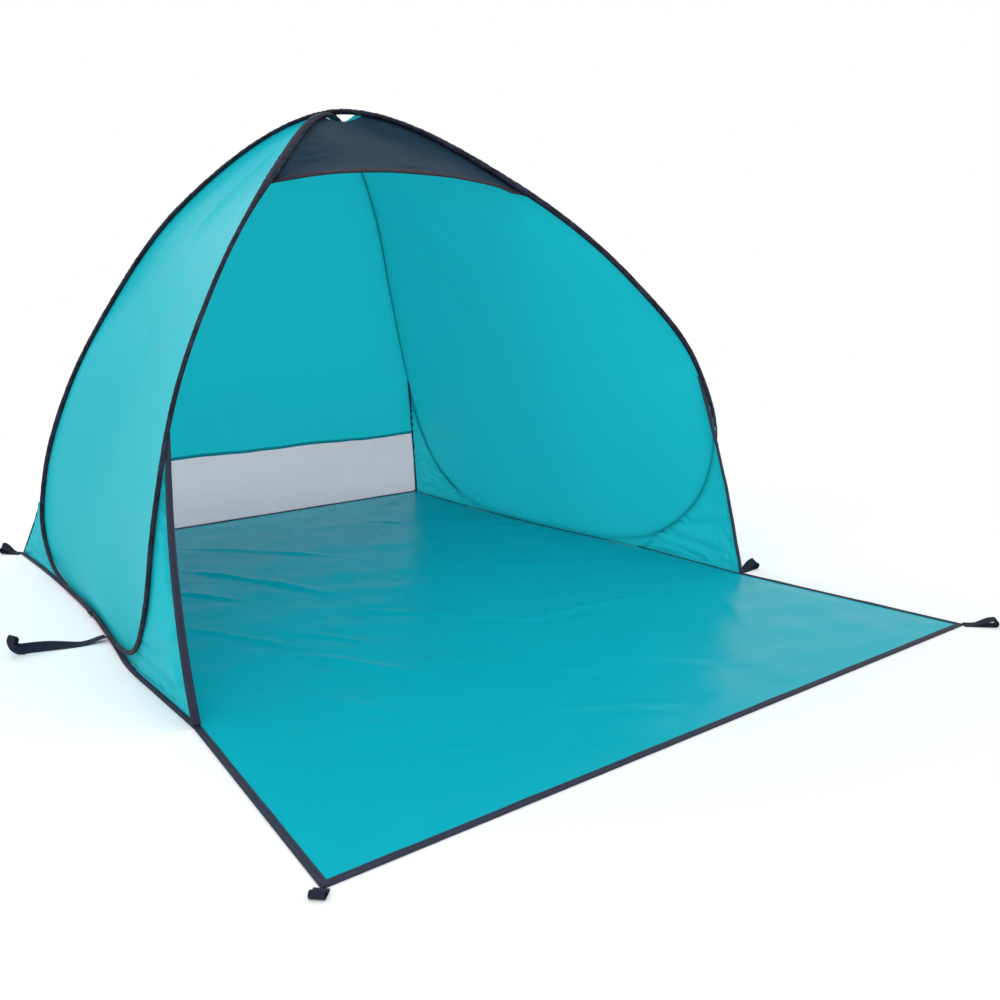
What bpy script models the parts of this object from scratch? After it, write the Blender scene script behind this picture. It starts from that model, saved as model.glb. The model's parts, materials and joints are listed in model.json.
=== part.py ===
"""A pop-up beach tent, built round one loop of spring wire that crosses itself over the floor.

The wire runs in cloth sleeves. On each side it drops from the crossing, lies along the edge of the floor and
rises again, so it holds a leaf-shaped side panel. The rear panel, the eave and four corner gussets are cut to
fill the rest, and a mat lies in front of the doorway.

Metres, +Z up. The doorway faces -Y, and +X is on the right of someone who looks in. The origin lies on the
ground, under the middle of the body floor.
"""

import math

import bmesh
import bpy
import numpy as np
from mathutils import Vector

# Floor and height
FRONT_WIDTH = 1.65
REAR_WIDTH = 1.48
BODY_DEPTH = 1.55
PORCH_DEPTH = 0.62
PORCH_FRONT_WIDTH = 1.79
APEX_HEIGHT = 1.29

# Wire, its crimp and its sleeves
WIRE_RADIUS = 0.002
WIRE_CLEARANCE = 0.00035
WIRE_END_GAP = 0.001
CRIMP_LENGTH = 0.024
CRIMP_WALL = 0.0008
CRIMP_ROOM = 0.004
SLEEVE_RADIUS = 0.0068
CROSSING_GAP = 0.001

# Cloth, tape and webbing
SEAM_GAP = 0.0003
CLOTH_THICKNESS = 0.0012
NET_THICKNESS = 0.001
HEM_THICKNESS = 0.002
FLOOR_THICKNESS = 0.002
TAPE_THICKNESS = 0.0012
TAPE_LIP = 0.01
TAPE_CHAMFER = 0.0005
TAPE_SETBACK = 0.002
LEG_RADIUS = 0.006
LEG_INSET = 0.009
SEAM_INSET = 0.005
EAVE_TAPE_WIDTH = 0.012
EAVE_TAPE_THICKNESS = 0.0024
EAVE_RISE = 0.032
WINDOW_HEIGHT = 0.25
HEM_WIDTH = 0.014
NET_COLUMNS = 22
NET_ROWS = 6
NET_BAR = 0.006
WEBBING_WIDTH = 0.025
WEBBING_THICKNESS = 0.0014
LOOP_LENGTH = 0.08
FOLDED_LOOP_LENGTH = 0.028
LOOP_EYE_RADIUS = 0.007
FOLDED_EYE_RADIUS = 0.0045
LOOP_STITCHING = 0.0004
MID_LOOP_SETBACK = 0.02
STRAP_LENGTH = 0.2
STRAP_DROP = 0.03
STRAP_EYE_RADIUS = 0.012
STRAP_STEM = 0.012
TAB_REACH_DEG = (-70.0, 55.0)

# Where the features sit, as shares of the sizes above
EDGE_BOW_SHARES = ((0.0, 0.0), (0.13, 0.009), (0.26, 0.015), (0.37, -0.004), (0.52, -0.024), (0.68, -0.025),
                   (0.85, -0.016), (1.0, 0.0))
REAR_STRAND_SHARES = ((0.392, 0.733, 0.803), (0.590, 0.842, 0.587), (0.726, 0.902, 0.395), (0.814, 0.917, 0.229),
                      (0.866, 0.882, 0.103), (0.892, 0.798, 0.029))
GROUND_RUN_SHARES = (0.68, 0.52, 0.36)
FRONT_STRAND_SHARES = ((0.994, 0.213, 0.040), (1.016, 0.122, 0.144), (1.004, 0.084, 0.295), (0.924, 0.104, 0.466),
                       (0.748, 0.176, 0.642), (0.454, 0.300, 0.835))
APEX_DEPTH_SHARE = 0.53
TIP_SHARE = 0.0065
REAR_SPLIT_SHARE = 0.285
REAR_GUSSET_END_SHARE = 0.395
REAR_TOUCH_SHARE = 0.43
FRONT_TOUCH_SHARE = 0.57
FRONT_GUSSET_END_SHARE = 0.575
FRONT_SPLIT_SHARE = 0.71
EAVE_SHARE = 0.875
CRIMP_SHARE = 0.5
STRAP_DEPTH_SHARE = 0.39
TAB_DEPTH_SHARE = 0.52
LOOP_TAIL_SHARE = 0.28
SLACK_PASSES = 400

# Stations and facets
LEAF_STATIONS = 56
TUBE_SIDES = 8
EDGE_STATIONS = 14
EAVE_COLUMNS = 8
REAR_COLUMNS = 10
GUSSET_COLUMNS = 4
LEG_STEPS = 6
NOSE_STEPS = 9
STRAP_STEPS = 10
SPAN_STEPS = 30

# Heights and places that follow from them
DOOR_Y = -BODY_DEPTH / 2
TAPE_TOP = FLOOR_THICKNESS + SEAM_GAP + TAPE_THICKNESS
TAPE_OUTSIDE = SEAM_GAP + TAPE_THICKNESS
SEAM_HEIGHT = TAPE_TOP + SEAM_GAP + CLOTH_THICKNESS / 2
HOOP_LOW = TAPE_TOP + SEAM_GAP + SLEEVE_RADIUS
UPPER_CROSSING = APEX_HEIGHT - SLEEVE_RADIUS
LOWER_CROSSING = UPPER_CROSSING - 2 * SLEEVE_RADIUS - CROSSING_GAP
SLEEVE_BORE = WIRE_RADIUS + WIRE_CLEARANCE
CRIMP_RADIUS = SLEEVE_BORE + CRIMP_WALL
CRIMP_BORE = CRIMP_RADIUS + WIRE_CLEARANCE
SLEEVE_SEAT = SLEEVE_RADIUS + SEAM_GAP
LEG_SEAT = LEG_RADIUS + SEAM_GAP
LOOP_HEIGHT = 2 * WEBBING_THICKNESS + LOOP_STITCHING
PORCH_AXIS = (0.0, DOOR_Y, TAPE_TOP)

SIDES = {"left": -1, "right": 1}

COLOURS = {
    "panel_cloth": ("22A9B7", 0.55, 0.0),
    "eave_cloth": ("2E4150", 0.6, 0.0),
    "floor_cloth": ("0FA3B4", 0.35, 0.0),
    "window_net": ("A9AEC0", 0.8, 0.0),
    "hem_cloth": ("12808E", 0.6, 0.0),
    "sleeve_cloth": ("211C2B", 0.75, 0.0),
    "binding_tape": ("3C394A", 0.7, 0.0),
    "webbing": ("1F2233", 0.8, 0.0),
    "spring_steel": ("8E9298", 0.3, 1.0),
    "crimp_metal": ("B9BCC0", 0.35, 1.0),
}


def clear_scene():
    for item in list(bpy.data.objects):
        bpy.data.objects.remove(item, do_unlink=True)


def linear(hex_colour):
    """A written colour as the linear numbers that a shader takes."""
    values = [int(hex_colour[place:place + 2], 16) / 255 for place in (0, 2, 4)]
    return [value / 12.92 if value <= 0.04045 else ((value + 0.055) / 1.055) ** 2.4 for value in values]


def make_material(name):
    colour, roughness, metallic = COLOURS[name]
    material = bpy.data.materials.new(name)
    material.use_nodes = True
    shader = material.node_tree.nodes["Principled BSDF"]
    shader.inputs["Base Color"].default_value = (*linear(colour), 1.0)
    shader.inputs["Roughness"].default_value = roughness
    shader.inputs["Metallic"].default_value = metallic
    return material


def add_piece(name, points, faces, finish, origin=(0.0, 0.0, 0.0), parent=None, smooth=True):
    """One object from points in the part's frame, with its own origin and material."""
    mesh = bpy.data.meshes.new(name)
    mesh.from_pydata([tuple(Vector(point) - Vector(origin)) for point in points], [], faces)
    work = bmesh.new()
    work.from_mesh(mesh)
    bmesh.ops.recalc_face_normals(work, faces=work.faces)
    work.to_mesh(mesh)
    work.free()
    if smooth:
        mesh.shade_smooth()
        mesh.set_sharp_from_angle(angle=math.radians(40))
    mesh.materials.append(make_material(finish))
    piece = bpy.data.objects.new(name, mesh)
    bpy.context.scene.collection.objects.link(piece)
    if parent is None:
        piece.location = origin
    else:
        piece.parent = parent
        piece.location = Vector(origin) - parent.location
    return piece


def unit(vector):
    return vector / np.linalg.norm(vector, axis=-1, keepdims=True)


def smooth_spans(knots, closed):
    """A smooth curve through the knots, as one run of points for each span."""
    knots = np.asarray(knots, float)
    if closed:
        before, after = np.roll(knots, 1, axis=0), np.roll(knots, -1, axis=0)
    else:
        before = np.vstack([2 * knots[0] - knots[1], knots[:-1]])
        after = np.vstack([knots[1:], 2 * knots[-1] - knots[-2]])
    back = np.linalg.norm(knots - before, axis=1)[:, None]
    ahead = np.linalg.norm(after - knots, axis=1)[:, None]
    slopes = ((knots - before) / back * ahead + (after - knots) / ahead * back) / (back + ahead)
    share = (np.arange(SPAN_STEPS) / SPAN_STEPS)[:, None]
    spans = []
    for here in range(len(knots) if closed else len(knots) - 1):
        there = (here + 1) % len(knots)
        spans.append(
            (2 * share**3 - 3 * share**2 + 1) * knots[here]
            + (share**3 - 2 * share**2 + share) * ahead[here] * slopes[here]
            + (3 * share**2 - 2 * share**3) * knots[there]
            + (share**3 - share**2) * ahead[here] * slopes[there]
        )
    return spans


def along(points, shares):
    """The places on a run of points at shares of its length."""
    steps = np.linalg.norm(np.diff(points, axis=0), axis=1)
    travelled = np.concatenate([[0.0], np.cumsum(steps)])
    wanted = np.asarray(shares) * travelled[-1]
    return np.stack([np.interp(wanted, travelled, points[:, axis]) for axis in range(3)], axis=1)


def floor_edge(side):
    """The side edge of the body floor on the ground, from the doorway to the rear, as a smooth run of points."""
    knots = []
    for depth, bow in EDGE_BOW_SHARES:
        straight = FRONT_WIDTH / 2 + (REAR_WIDTH - FRONT_WIDTH) / 2 * depth
        knots.append((side * (straight + bow * FRONT_WIDTH / 2), DOOR_Y + depth * BODY_DEPTH, 0.0))
    return np.vstack([*smooth_spans(knots, closed=False), knots[-1]])


def edge_x(side, y):
    edge = floor_edge(side)
    return float(np.interp(y, edge[:, 1], edge[:, 0]))


def depth_y(share):
    return DOOR_Y + share * BODY_DEPTH


def hoop_knots(side):
    """The wire's knots on one side: down from the crossing at the rear, along the floor, and up at the front."""
    rise = UPPER_CROSSING - HOOP_LOW
    half = FRONT_WIDTH / 2
    strands = []
    for table in (REAR_STRAND_SHARES, FRONT_STRAND_SHARES):
        strands.append([(side * out * half, depth_y(depth), HOOP_LOW + up * rise) for out, depth, up in table])
    ground = []
    for depth in GROUND_RUN_SHARES:
        ground.append((edge_x(side, depth_y(depth)), depth_y(depth), HOOP_LOW))
    return [*strands[0], *ground, *strands[1]]


class Hoop:
    """Stations round the whole wire, with the frame that its sleeves and its crimp share."""

    def __init__(self):
        middle = depth_y(APEX_DEPTH_SHARE)
        upper, lower = (0.0, middle, UPPER_CROSSING), (0.0, middle, LOWER_CROSSING)
        left, right = hoop_knots(-1), hoop_knots(1)
        spans = smooth_spans([upper, *left, lower, *right], closed=True)
        turn = len(left) + 1
        even = np.arange(1, LEAF_STATIONS) / LEAF_STATIONS
        self.shares = np.concatenate([[0.0, TIP_SHARE], even, [1 - TIP_SHARE, 1.0]])
        leaves = []
        for part, end in ((spans[:turn], lower), (spans[turn:], upper)):
            route = np.vstack([*part, end])
            route[:, 2] = np.maximum(route[:, 2], HOOP_LOW)
            leaves.append(along(route, self.shares))
        self.points = np.vstack([leaves[0][:-1], leaves[1][:-1]])
        self.first = {"left": 0, "right": len(self.shares) - 1}
        chords = unit(np.roll(self.points, -1, axis=0) - self.points)
        self.tangents = unit(chords + np.roll(chords, 1, axis=0))
        self.across = np.zeros_like(self.points)
        reference = np.array([0.0, 0.0, 1.0])
        for index, tangent in enumerate(self.tangents):
            reference = unit(reference - tangent * reference.dot(tangent))
            self.across[index] = reference
        self.beside = np.cross(self.tangents, self.across)

    def station(self, share):
        """The number, within a leaf, of the station nearest to a share of the leaf's length."""
        return int(np.abs(self.shares - share).argmin())

    def run(self, side, first, last):
        """The stations of one leaf from first to last, in that order."""
        step = 1 if last >= first else -1
        count = len(self.points)
        return [(self.first[side] + index) % count for index in range(first, last + step, step)]

    def ring(self, index, radius, shift=0.0):
        centre = self.points[index] + shift * self.tangents[index]
        return ring_at(centre, self.across[index], self.beside[index], radius)


def ring_at(centre, across, beside, radius):
    angles = 2 * math.pi * np.arange(TUBE_SIDES) / TUBE_SIDES
    return centre + radius * (np.cos(angles)[:, None] * across + np.sin(angles)[:, None] * beside)


def tube_faces(count, sides, hollow):
    """Faces of a lofted tube whose outer rings come first, and whose inner rings follow if it is hollow."""
    faces = []
    for wall in range(2 if hollow else 1):
        base = wall * count * sides
        for row in range(count - 1):
            for side in range(sides):
                turn = (side + 1) % sides
                low, high = base + row * sides, base + (row + 1) * sides
                faces.append((low + side, low + turn, high + turn, high + side))
    if not hollow:
        return [*faces, tuple(range(sides)), tuple((count - 1) * sides + side for side in range(sides))]
    for row in (0, count - 1):
        for side in range(sides):
            turn = (side + 1) % sides
            outer, inner = row * sides, (count + row) * sides
            faces.append((outer + side, outer + turn, inner + turn, inner + side))
    return faces


def add_tube(name, outer, finish, inner=None):
    rings = [*outer, *(inner or [])]
    return add_piece(name, np.vstack(rings), tube_faces(len(outer), TUBE_SIDES, inner is not None), finish)


def crimp_chord(hoop):
    """The straight chord of the ground run that holds the crimp: its first station, middle and direction."""
    index = hoop.run("right", hoop.station(CRIMP_SHARE), hoop.station(CRIMP_SHARE) + 1)[0]
    start, end = hoop.points[index], hoop.points[index + 1]
    return index, (start + end) / 2, unit(end - start)


def chord_ring(hoop, index, centre, direction, radius):
    """A ring on the chord after a station, turned as that station's ring is."""
    across = unit(hoop.across[index] - direction * hoop.across[index].dot(direction))
    return ring_at(centre, across, np.cross(direction, across), radius)


def add_wire(hoop):
    index, middle, direction = crimp_chord(hoop)
    count = len(hoop.points)
    ends = [middle + direction * WIRE_END_GAP / 2, middle - direction * WIRE_END_GAP / 2]
    rings = [chord_ring(hoop, index, ends[0], direction, WIRE_RADIUS)]
    for step in range(1, count + 1):
        rings.append(hoop.ring((index + step) % count, WIRE_RADIUS))
    rings.append(chord_ring(hoop, index, ends[1], direction, WIRE_RADIUS))
    add_tube("spring_wire", rings, "spring_steel")


def add_crimp(hoop):
    index, middle, direction = crimp_chord(hoop)
    centres = [middle - direction * CRIMP_LENGTH / 2, middle + direction * CRIMP_LENGTH / 2]
    outer = [chord_ring(hoop, index, centre, direction, CRIMP_RADIUS) for centre in centres]
    inner = [chord_ring(hoop, index, centre, direction, SLEEVE_BORE) for centre in centres]
    add_tube("wire_crimp", outer, "crimp_metal", inner)


def add_sleeve(hoop, name, stations):
    """A sleeve over a run of stations, widened inside where it passes over the crimp."""
    crimp, middle, direction = crimp_chord(hoop)
    outer, inner = [], []
    for place, index in enumerate(stations):
        shift = SEAM_GAP / 2 if place == 0 else -SEAM_GAP / 2 if place == len(stations) - 1 else 0.0
        outer.append(hoop.ring(index, SLEEVE_RADIUS, shift))
        inner.append(hoop.ring(index, SLEEVE_BORE, shift))
        if index != crimp or place == len(stations) - 1:
            continue
        reach = CRIMP_LENGTH / 2 + WIRE_CLEARANCE
        for distance, bore in ((-reach - CRIMP_ROOM, SLEEVE_BORE), (-reach, CRIMP_BORE), (reach, CRIMP_BORE),
                               (reach + CRIMP_ROOM, SLEEVE_BORE)):
            centre = middle + direction * distance
            outer.append(chord_ring(hoop, index, centre, direction, SLEEVE_RADIUS))
            inner.append(chord_ring(hoop, index, centre, direction, bore))
    add_tube(name, outer, "sleeve_cloth", inner)


def add_sleeves(hoop):
    last = len(hoop.shares) - 1
    rear, front = hoop.station(REAR_TOUCH_SHARE), hoop.station(FRONT_TOUCH_SHARE)
    for side in SIDES:
        add_sleeve(hoop, f"{side}_rear_sleeve", hoop.run(side, 0, rear))
        add_sleeve(hoop, f"{side}_ground_sleeve", hoop.run(side, rear, front))
        add_sleeve(hoop, f"{side}_front_sleeve", hoop.run(side, front, last))


def stretch(rail_a, rail_b, columns, foot=None):
    """Straight lines from rail to rail, as a net of points. A foot replaces the last line."""
    share = np.linspace(0, 1, columns + 1)[None, :, None]
    net = rail_a[:, None, :] * (1 - share) + rail_b[:, None, :] * share
    if foot is not None:
        net[-1] = foot
    return net


def settle(net):
    """Lets tight cloth settle, until every inner point lies at the mean of its four neighbours."""
    for _ in range(SLACK_PASSES):
        net[1:-1, 1:-1] = (net[:-2, 1:-1] + net[2:, 1:-1] + net[1:-1, :-2] + net[1:-1, 2:]) / 4
    return net


def seat_edge(net, places, tangents, distances):
    """Draws edge points of a net in from the axis of what carries them, square to it and clear of the floor."""
    start = net.copy()
    for (row, column), tangent, distance in zip(places, tangents, distances):
        inner_row = min(max(row, 1), len(net) - 2)
        inner_column = min(max(column, 1), net.shape[1] - 2)
        inward = start[inner_row, inner_column] - start[row, column]
        inward = unit(inward - tangent * inward.dot(tangent))
        net[row, column] = start[row, column] + inward * distance
    net[..., 2] = np.maximum(net[..., 2], SEAM_HEIGHT)


def sheet_faces(rows, columns, skip=()):
    faces = []
    for row in range(rows - 1):
        for column in range(columns - 1):
            if (row, column) not in skip:
                low, high = row * columns + column, (row + 1) * columns + column
                faces.append((low, low + 1, high + 1, high))
    return faces


def add_sheet(name, net, finish, thickness, skip=(), **options):
    """A sheet of cloth from a net of points, given its thickness to both sides."""
    rows, columns = net.shape[:2]
    piece = add_piece(name, net.reshape(-1, 3), sheet_faces(rows, columns, skip), finish, **options)
    shell = piece.modifiers.new("thickness", "SOLIDIFY")
    shell.thickness = thickness
    shell.offset = 0
    shell.use_even_offset = True
    shell.use_quality_normals = True
    return piece


def patch(net, columns, rows):
    """The net read at fractional column and row numbers."""
    rows, columns = np.asarray(rows, float), np.asarray(columns, float)
    row = np.minimum(rows.astype(int), len(net) - 2)
    column = np.minimum(columns.astype(int), net.shape[1] - 2)
    down, over = (rows - row)[:, None, None], (columns - column)[None, :, None]
    near = net[row][:, column] * (1 - over) + net[row][:, column + 1] * over
    far = net[row + 1][:, column] * (1 - over) + net[row + 1][:, column + 1] * over
    return near * (1 - down) + far * down


def add_side_panel(hoop, side):
    """The leaf inside the loop of one side, from the crossing down to the ground run."""
    rear, front = hoop.station(REAR_TOUCH_SHARE), hoop.station(FRONT_TOUCH_SHARE)
    last = len(hoop.shares) - 1
    rear_rail = hoop.run(side, 1, rear)
    front_rail = hoop.run(side, last - 1, front)
    ground = hoop.run(side, rear, front)
    columns = len(ground) - 1
    net = stretch(hoop.points[rear_rail], hoop.points[front_rail], columns, hoop.points[ground])
    places = [(row, 0) for row in range(len(rear_rail))]
    places += [(row, columns) for row in range(len(front_rail))]
    places += [(len(rear_rail) - 1, column) for column in range(1, columns)]
    stations = [*rear_rail, *front_rail, *ground[1:-1]]
    seat_edge(net, places, hoop.tangents[stations], [SLEEVE_SEAT] * len(places))
    net = settle(stretch(net[:, 0], net[:, -1], columns, net[-1]))
    add_sheet(f"{side}_side_panel", net, "panel_cloth", CLOTH_THICKNESS)


class Leg:
    """A bound seam that runs straight from a strand of the hoop to a corner of the floor."""

    def __init__(self, hoop, side, split_share, end_share, foot_y):
        sign = SIDES[side]
        inward = 1 if foot_y < 0 else -1
        self.foot = np.array([edge_x(sign, foot_y) - sign * LEG_INSET, foot_y + inward * LEG_INSET, SEAM_HEIGHT])
        self.split = hoop.station(split_share)
        self.end = hoop.station(end_share)
        start = hoop.run(side, self.split, self.split)[0]
        toward = self.foot - hoop.points[start]
        aside = unit(toward - hoop.tangents[start] * toward.dot(hoop.tangents[start]))
        self.top = hoop.points[start] + aside * (SLEEVE_SEAT + LEG_RADIUS)
        self.direction = unit(self.foot - self.top)

    def level(self, height):
        """The point of the axis at a height."""
        return self.top + self.direction * (height - self.top[2]) / self.direction[2]

    def add(self, name):
        across = unit(np.array([1.0, 0.0, 0.0]) - self.direction * self.direction[0])
        beside = np.cross(self.direction, across)
        rings = [ring_at(self.top, across, beside, LEG_RADIUS), ring_at(self.foot, across, beside, LEG_RADIUS)]
        lowest = TAPE_TOP + SEAM_GAP
        rings[1] += self.direction * ((lowest - rings[1][:, 2]) / self.direction[2])[:, None]
        add_tube(name, rings, "binding_tape")


def add_gusset(hoop, side, leg, name):
    """The corner cloth between a strand, the leg beside it and the edge of the floor."""
    stations = hoop.run(side, leg.split, leg.end)
    strand = hoop.points[stations]
    slant = np.linspace(0, 1, LEG_STEPS)[:, None]
    down = leg.top + (leg.foot - leg.top) * slant
    runs = len(stations) - LEG_STEPS
    depths = leg.foot[1] + (strand[-1, 1] - leg.foot[1]) * np.linspace(0, 1, runs + 1)[1:]
    sign = SIDES[side]
    floor = np.array([(edge_x(sign, y) - sign * SEAM_INSET, y, SEAM_HEIGHT) for y in depths])
    net = stretch(strand, np.vstack([down, floor]), GUSSET_COLUMNS)[1:]
    rows, on_leg = len(net), LEG_STEPS - 1
    places = [(row, 0) for row in range(rows)] + [(row, GUSSET_COLUMNS) for row in range(on_leg)]
    tangents = [*hoop.tangents[stations[1:]], *[leg.direction] * on_leg]
    seat_edge(net, places, tangents, [SLEEVE_SEAT] * rows + [LEG_SEAT] * on_leg)
    add_sheet(name, stretch(net[:, 0], net[:, -1], GUSSET_COLUMNS), "panel_cloth", CLOTH_THICKNESS)


def add_rear(hoop, legs):
    """The rear panel, its hem and the window net, which share one stretched surface."""
    split = legs["left"].split
    hem_top = WINDOW_HEIGHT + HEM_WIDTH
    upper, lower = [], []
    for side, leg in legs.items():
        run = hoop.points[hoop.run(side, 1, split)]
        middle = leg.level((leg.top[2] + hem_top) / 2)
        upper.append(np.vstack([run[:-1], leg.top, middle, leg.level(hem_top)]))
        lower.append(np.vstack([leg.level(WINDOW_HEIGHT), leg.level(WINDOW_HEIGHT / 2), leg.foot]))
    net = stretch(*[np.vstack(rails) for rails in zip(upper, lower)], REAR_COLUMNS)
    places, tangents, seats = [], [], []
    for column, (side, leg) in zip((0, REAR_COLUMNS), legs.items()):
        stations = hoop.run(side, 1, split)[:-1]
        for row in range(len(net)):
            on_strand = row < len(stations)
            places.append((row, column))
            tangents.append(hoop.tangents[stations[row]] if on_strand else leg.direction)
            seats.append(SLEEVE_SEAT if on_strand else LEG_SEAT)
    seat_edge(net, places, tangents, seats)
    net = stretch(net[:, 0], net[:, -1], REAR_COLUMNS)
    hem = len(net) - 4
    settle(net[:hem + 1])
    columns = np.arange(REAR_COLUMNS + 1)
    trim = SEAM_GAP / 2
    above = trim / np.linalg.norm(net[hem, 0] - net[hem - 1, 0])
    within = trim / np.linalg.norm(net[hem + 1, 0] - net[hem, 0])
    below = trim / np.linalg.norm(net[hem + 2, 0] - net[hem + 1, 0])
    panel_rows = [*range(hem), hem - above]
    add_sheet("rear_panel", patch(net, columns, panel_rows), "panel_cloth", CLOTH_THICKNESS)
    add_sheet("window_hem", patch(net, columns, [hem + within, hem + 1 - within]), "hem_cloth", HEM_THICKNESS)
    add_window(net[hem + 1:], below)


def bar_places(gaps, length):
    """Edges of the bars and gaps of a net, as shares of its length."""
    gap = (length - (gaps + 1) * NET_BAR) / gaps
    steps = [NET_BAR, gap] * gaps + [NET_BAR]
    return np.concatenate([[0.0], np.cumsum(steps)]) / length


def add_window(net, start):
    """The window: a net with square gaps, from the hem to the floor."""
    width = np.linalg.norm(net[0, -1] - net[0, 0])
    height = np.linalg.norm(net[-1, 0] - net[0, 0])
    columns = bar_places(NET_COLUMNS, width) * (net.shape[1] - 1)
    rows = start + bar_places(NET_ROWS, height) * (len(net) - 1 - start)
    gaps = {(2 * row + 1, 2 * column + 1) for row in range(NET_ROWS) for column in range(NET_COLUMNS)}
    add_sheet("mesh_window", patch(net, columns, rows), "window_net", NET_THICKNESS, skip=gaps)


def add_eave(hoop):
    """The dark cloth between the two front strands, and the tape that binds its arched lower edge."""
    last = len(hoop.shares) - 1
    end = hoop.station(EAVE_SHARE)
    left, right = hoop.run("left", last - 2, end), hoop.run("right", last - 2, end)
    arch = np.linspace(0, 1, EAVE_COLUMNS + 1)[:, None]
    foot = hoop.points[left[-1]] * (1 - arch) + hoop.points[right[-1]] * arch
    foot[:, 2:] += EAVE_RISE * 4 * arch * (1 - arch)
    net = stretch(hoop.points[left], hoop.points[right], EAVE_COLUMNS, foot)
    places = [(row, column) for column in (0, EAVE_COLUMNS) for row in range(len(left))]
    seat_edge(net, places, hoop.tangents[[*left, *right]], [SLEEVE_SEAT] * len(places))
    net = settle(stretch(net[:, 0], net[:, -1], EAVE_COLUMNS, net[-1]))
    add_sheet("front_eave", net, "eave_cloth", CLOTH_THICKNESS)
    down = unit(net[-1] - net[-2])
    down[0], down[-1] = hoop.tangents[left[-1]] * -1, hoop.tangents[right[-1]] * -1
    tape = np.stack([net[-1] + down * SEAM_GAP, net[-1] + down * (SEAM_GAP + EAVE_TAPE_WIDTH)])
    add_sheet("eave_binding", tape, "binding_tape", EAVE_TAPE_THICKNESS)


def slab(outline, thickness):
    """Points and faces of a flat sheet that lies on the ground, from its outline."""
    count = len(outline)
    points = [(x, y, height) for height in (0.0, thickness) for x, y in outline]
    faces = [tuple(range(count)), tuple(range(count, 2 * count))]
    for here in range(count):
        there = (here + 1) % count
        faces.append((here, there, count + there, count + here))
    return points, faces


def porch_edge_x(side, y):
    share = (DOOR_Y - y) / PORCH_DEPTH
    return side * (FRONT_WIDTH + (PORCH_FRONT_WIDTH - FRONT_WIDTH) * share) / 2


def add_floors(porch):
    shares = np.linspace(0, 1, EDGE_STATIONS)
    front, rear = DOOR_Y + SEAM_GAP / 2, -DOOR_Y
    depths = front + (rear - front) * shares
    outline = [(edge_x(1, y), y) for y in depths] + [(edge_x(-1, y), y) for y in depths[::-1]]
    add_piece("body_floor", *slab(outline, FLOOR_THICKNESS), "floor_cloth", smooth=False)
    near, far = DOOR_Y - SEAM_GAP / 2, DOOR_Y - PORCH_DEPTH
    outline = [(porch_edge_x(-1, near), near), (porch_edge_x(-1, far), far)]
    outline += [(porch_edge_x(1, far), far), (porch_edge_x(1, near), near)]
    add_piece("porch_floor", *slab(outline, FLOOR_THICKNESS), "floor_cloth", PORCH_AXIS, porch, smooth=False)


def tape_section():
    """The binding's section, as distances out from the floor's edge and heights: over the top and down the side."""
    return [
        (-TAPE_LIP, FLOOR_THICKNESS + SEAM_GAP),
        (SEAM_GAP, FLOOR_THICKNESS + SEAM_GAP),
        (SEAM_GAP, 0.0),
        (TAPE_OUTSIDE, 0.0),
        (TAPE_OUTSIDE, TAPE_TOP - TAPE_CHAMFER),
        (TAPE_OUTSIDE - TAPE_CHAMFER, TAPE_TOP),
        (-TAPE_LIP, TAPE_TOP),
    ]


def add_binding(name, path, outward, origin=(0.0, 0.0, 0.0), parent=None):
    """Tape along a path on the ground. Its section leans out square to the path, or along outward at the ends."""
    path = np.asarray(path, float)
    section = tape_section()
    points = []
    for place, direction in zip(path, outward):
        points += [(place[0] + out * direction[0], place[1] + out * direction[1], up) for out, up in section]
    faces = tube_faces(len(path), len(section), hollow=False)
    add_piece(name, points, faces, "binding_tape", origin, parent, smooth=False)


def add_bindings(porch):
    shares = np.linspace(0, 1, EDGE_STATIONS)
    for side, sign in SIDES.items():
        front, rear = DOOR_Y + TAPE_SETBACK, -DOOR_Y + TAPE_OUTSIDE
        depths = front + (rear - front) * shares
        path = [(edge_x(sign, y), y) for y in depths]
        add_binding(f"{side}_floor_binding", path, [(sign, 0.0)] * len(path))
        near, far = DOOR_Y - TAPE_SETBACK, DOOR_Y - PORCH_DEPTH - TAPE_OUTSIDE
        path = [(porch_edge_x(sign, near), near), (porch_edge_x(sign, far), far)]
        add_binding(f"{side}_porch_binding", path, [(sign, 0.0)] * 2, PORCH_AXIS, porch)
    inside = TAPE_LIP + SEAM_GAP
    rear, far = -DOOR_Y, DOOR_Y - PORCH_DEPTH
    half = min(edge_x(1, rear), edge_x(1, rear - TAPE_LIP)) - inside
    add_binding("rear_floor_binding", [(-half, rear), (half, rear)], [(0.0, 1.0)] * 2)
    half = min(porch_edge_x(1, far), porch_edge_x(1, far + TAPE_LIP)) - inside
    add_binding("front_porch_binding", [(-half, far), (half, far)], [(0.0, -1.0)] * 2, PORCH_AXIS, porch)


def arc(centre, radius, first_deg, last_deg, steps):
    angles = np.radians(np.linspace(first_deg, last_deg, steps + 1))
    return [(centre[0] + radius * math.cos(angle), centre[1] + radius * math.sin(angle)) for angle in angles]


def extruded(outer, hole, width):
    """Points and faces of a flat shape with one hole, standing along X and Z and drawn out along Y."""
    work = bmesh.new()
    for outline in (outer, hole):
        corners = [work.verts.new((x, -width / 2, z)) for x, z in outline]
        for here, corner in enumerate(corners):
            work.edges.new((corner, corners[(here + 1) % len(corners)]))
    bmesh.ops.triangle_fill(work, use_beauty=True, use_dissolve=False, edges=work.edges[:])
    drawn = bmesh.ops.extrude_face_region(work, geom=work.faces[:])
    top = [item for item in drawn["geom"] if isinstance(item, bmesh.types.BMVert)]
    bmesh.ops.translate(work, verts=top, vec=(0.0, width, 0.0))
    work.verts.index_update()
    points = [tuple(corner.co) for corner in work.verts]
    faces = [tuple(corner.index for corner in face.verts) for face in work.faces]
    work.free()
    return points, faces


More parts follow.
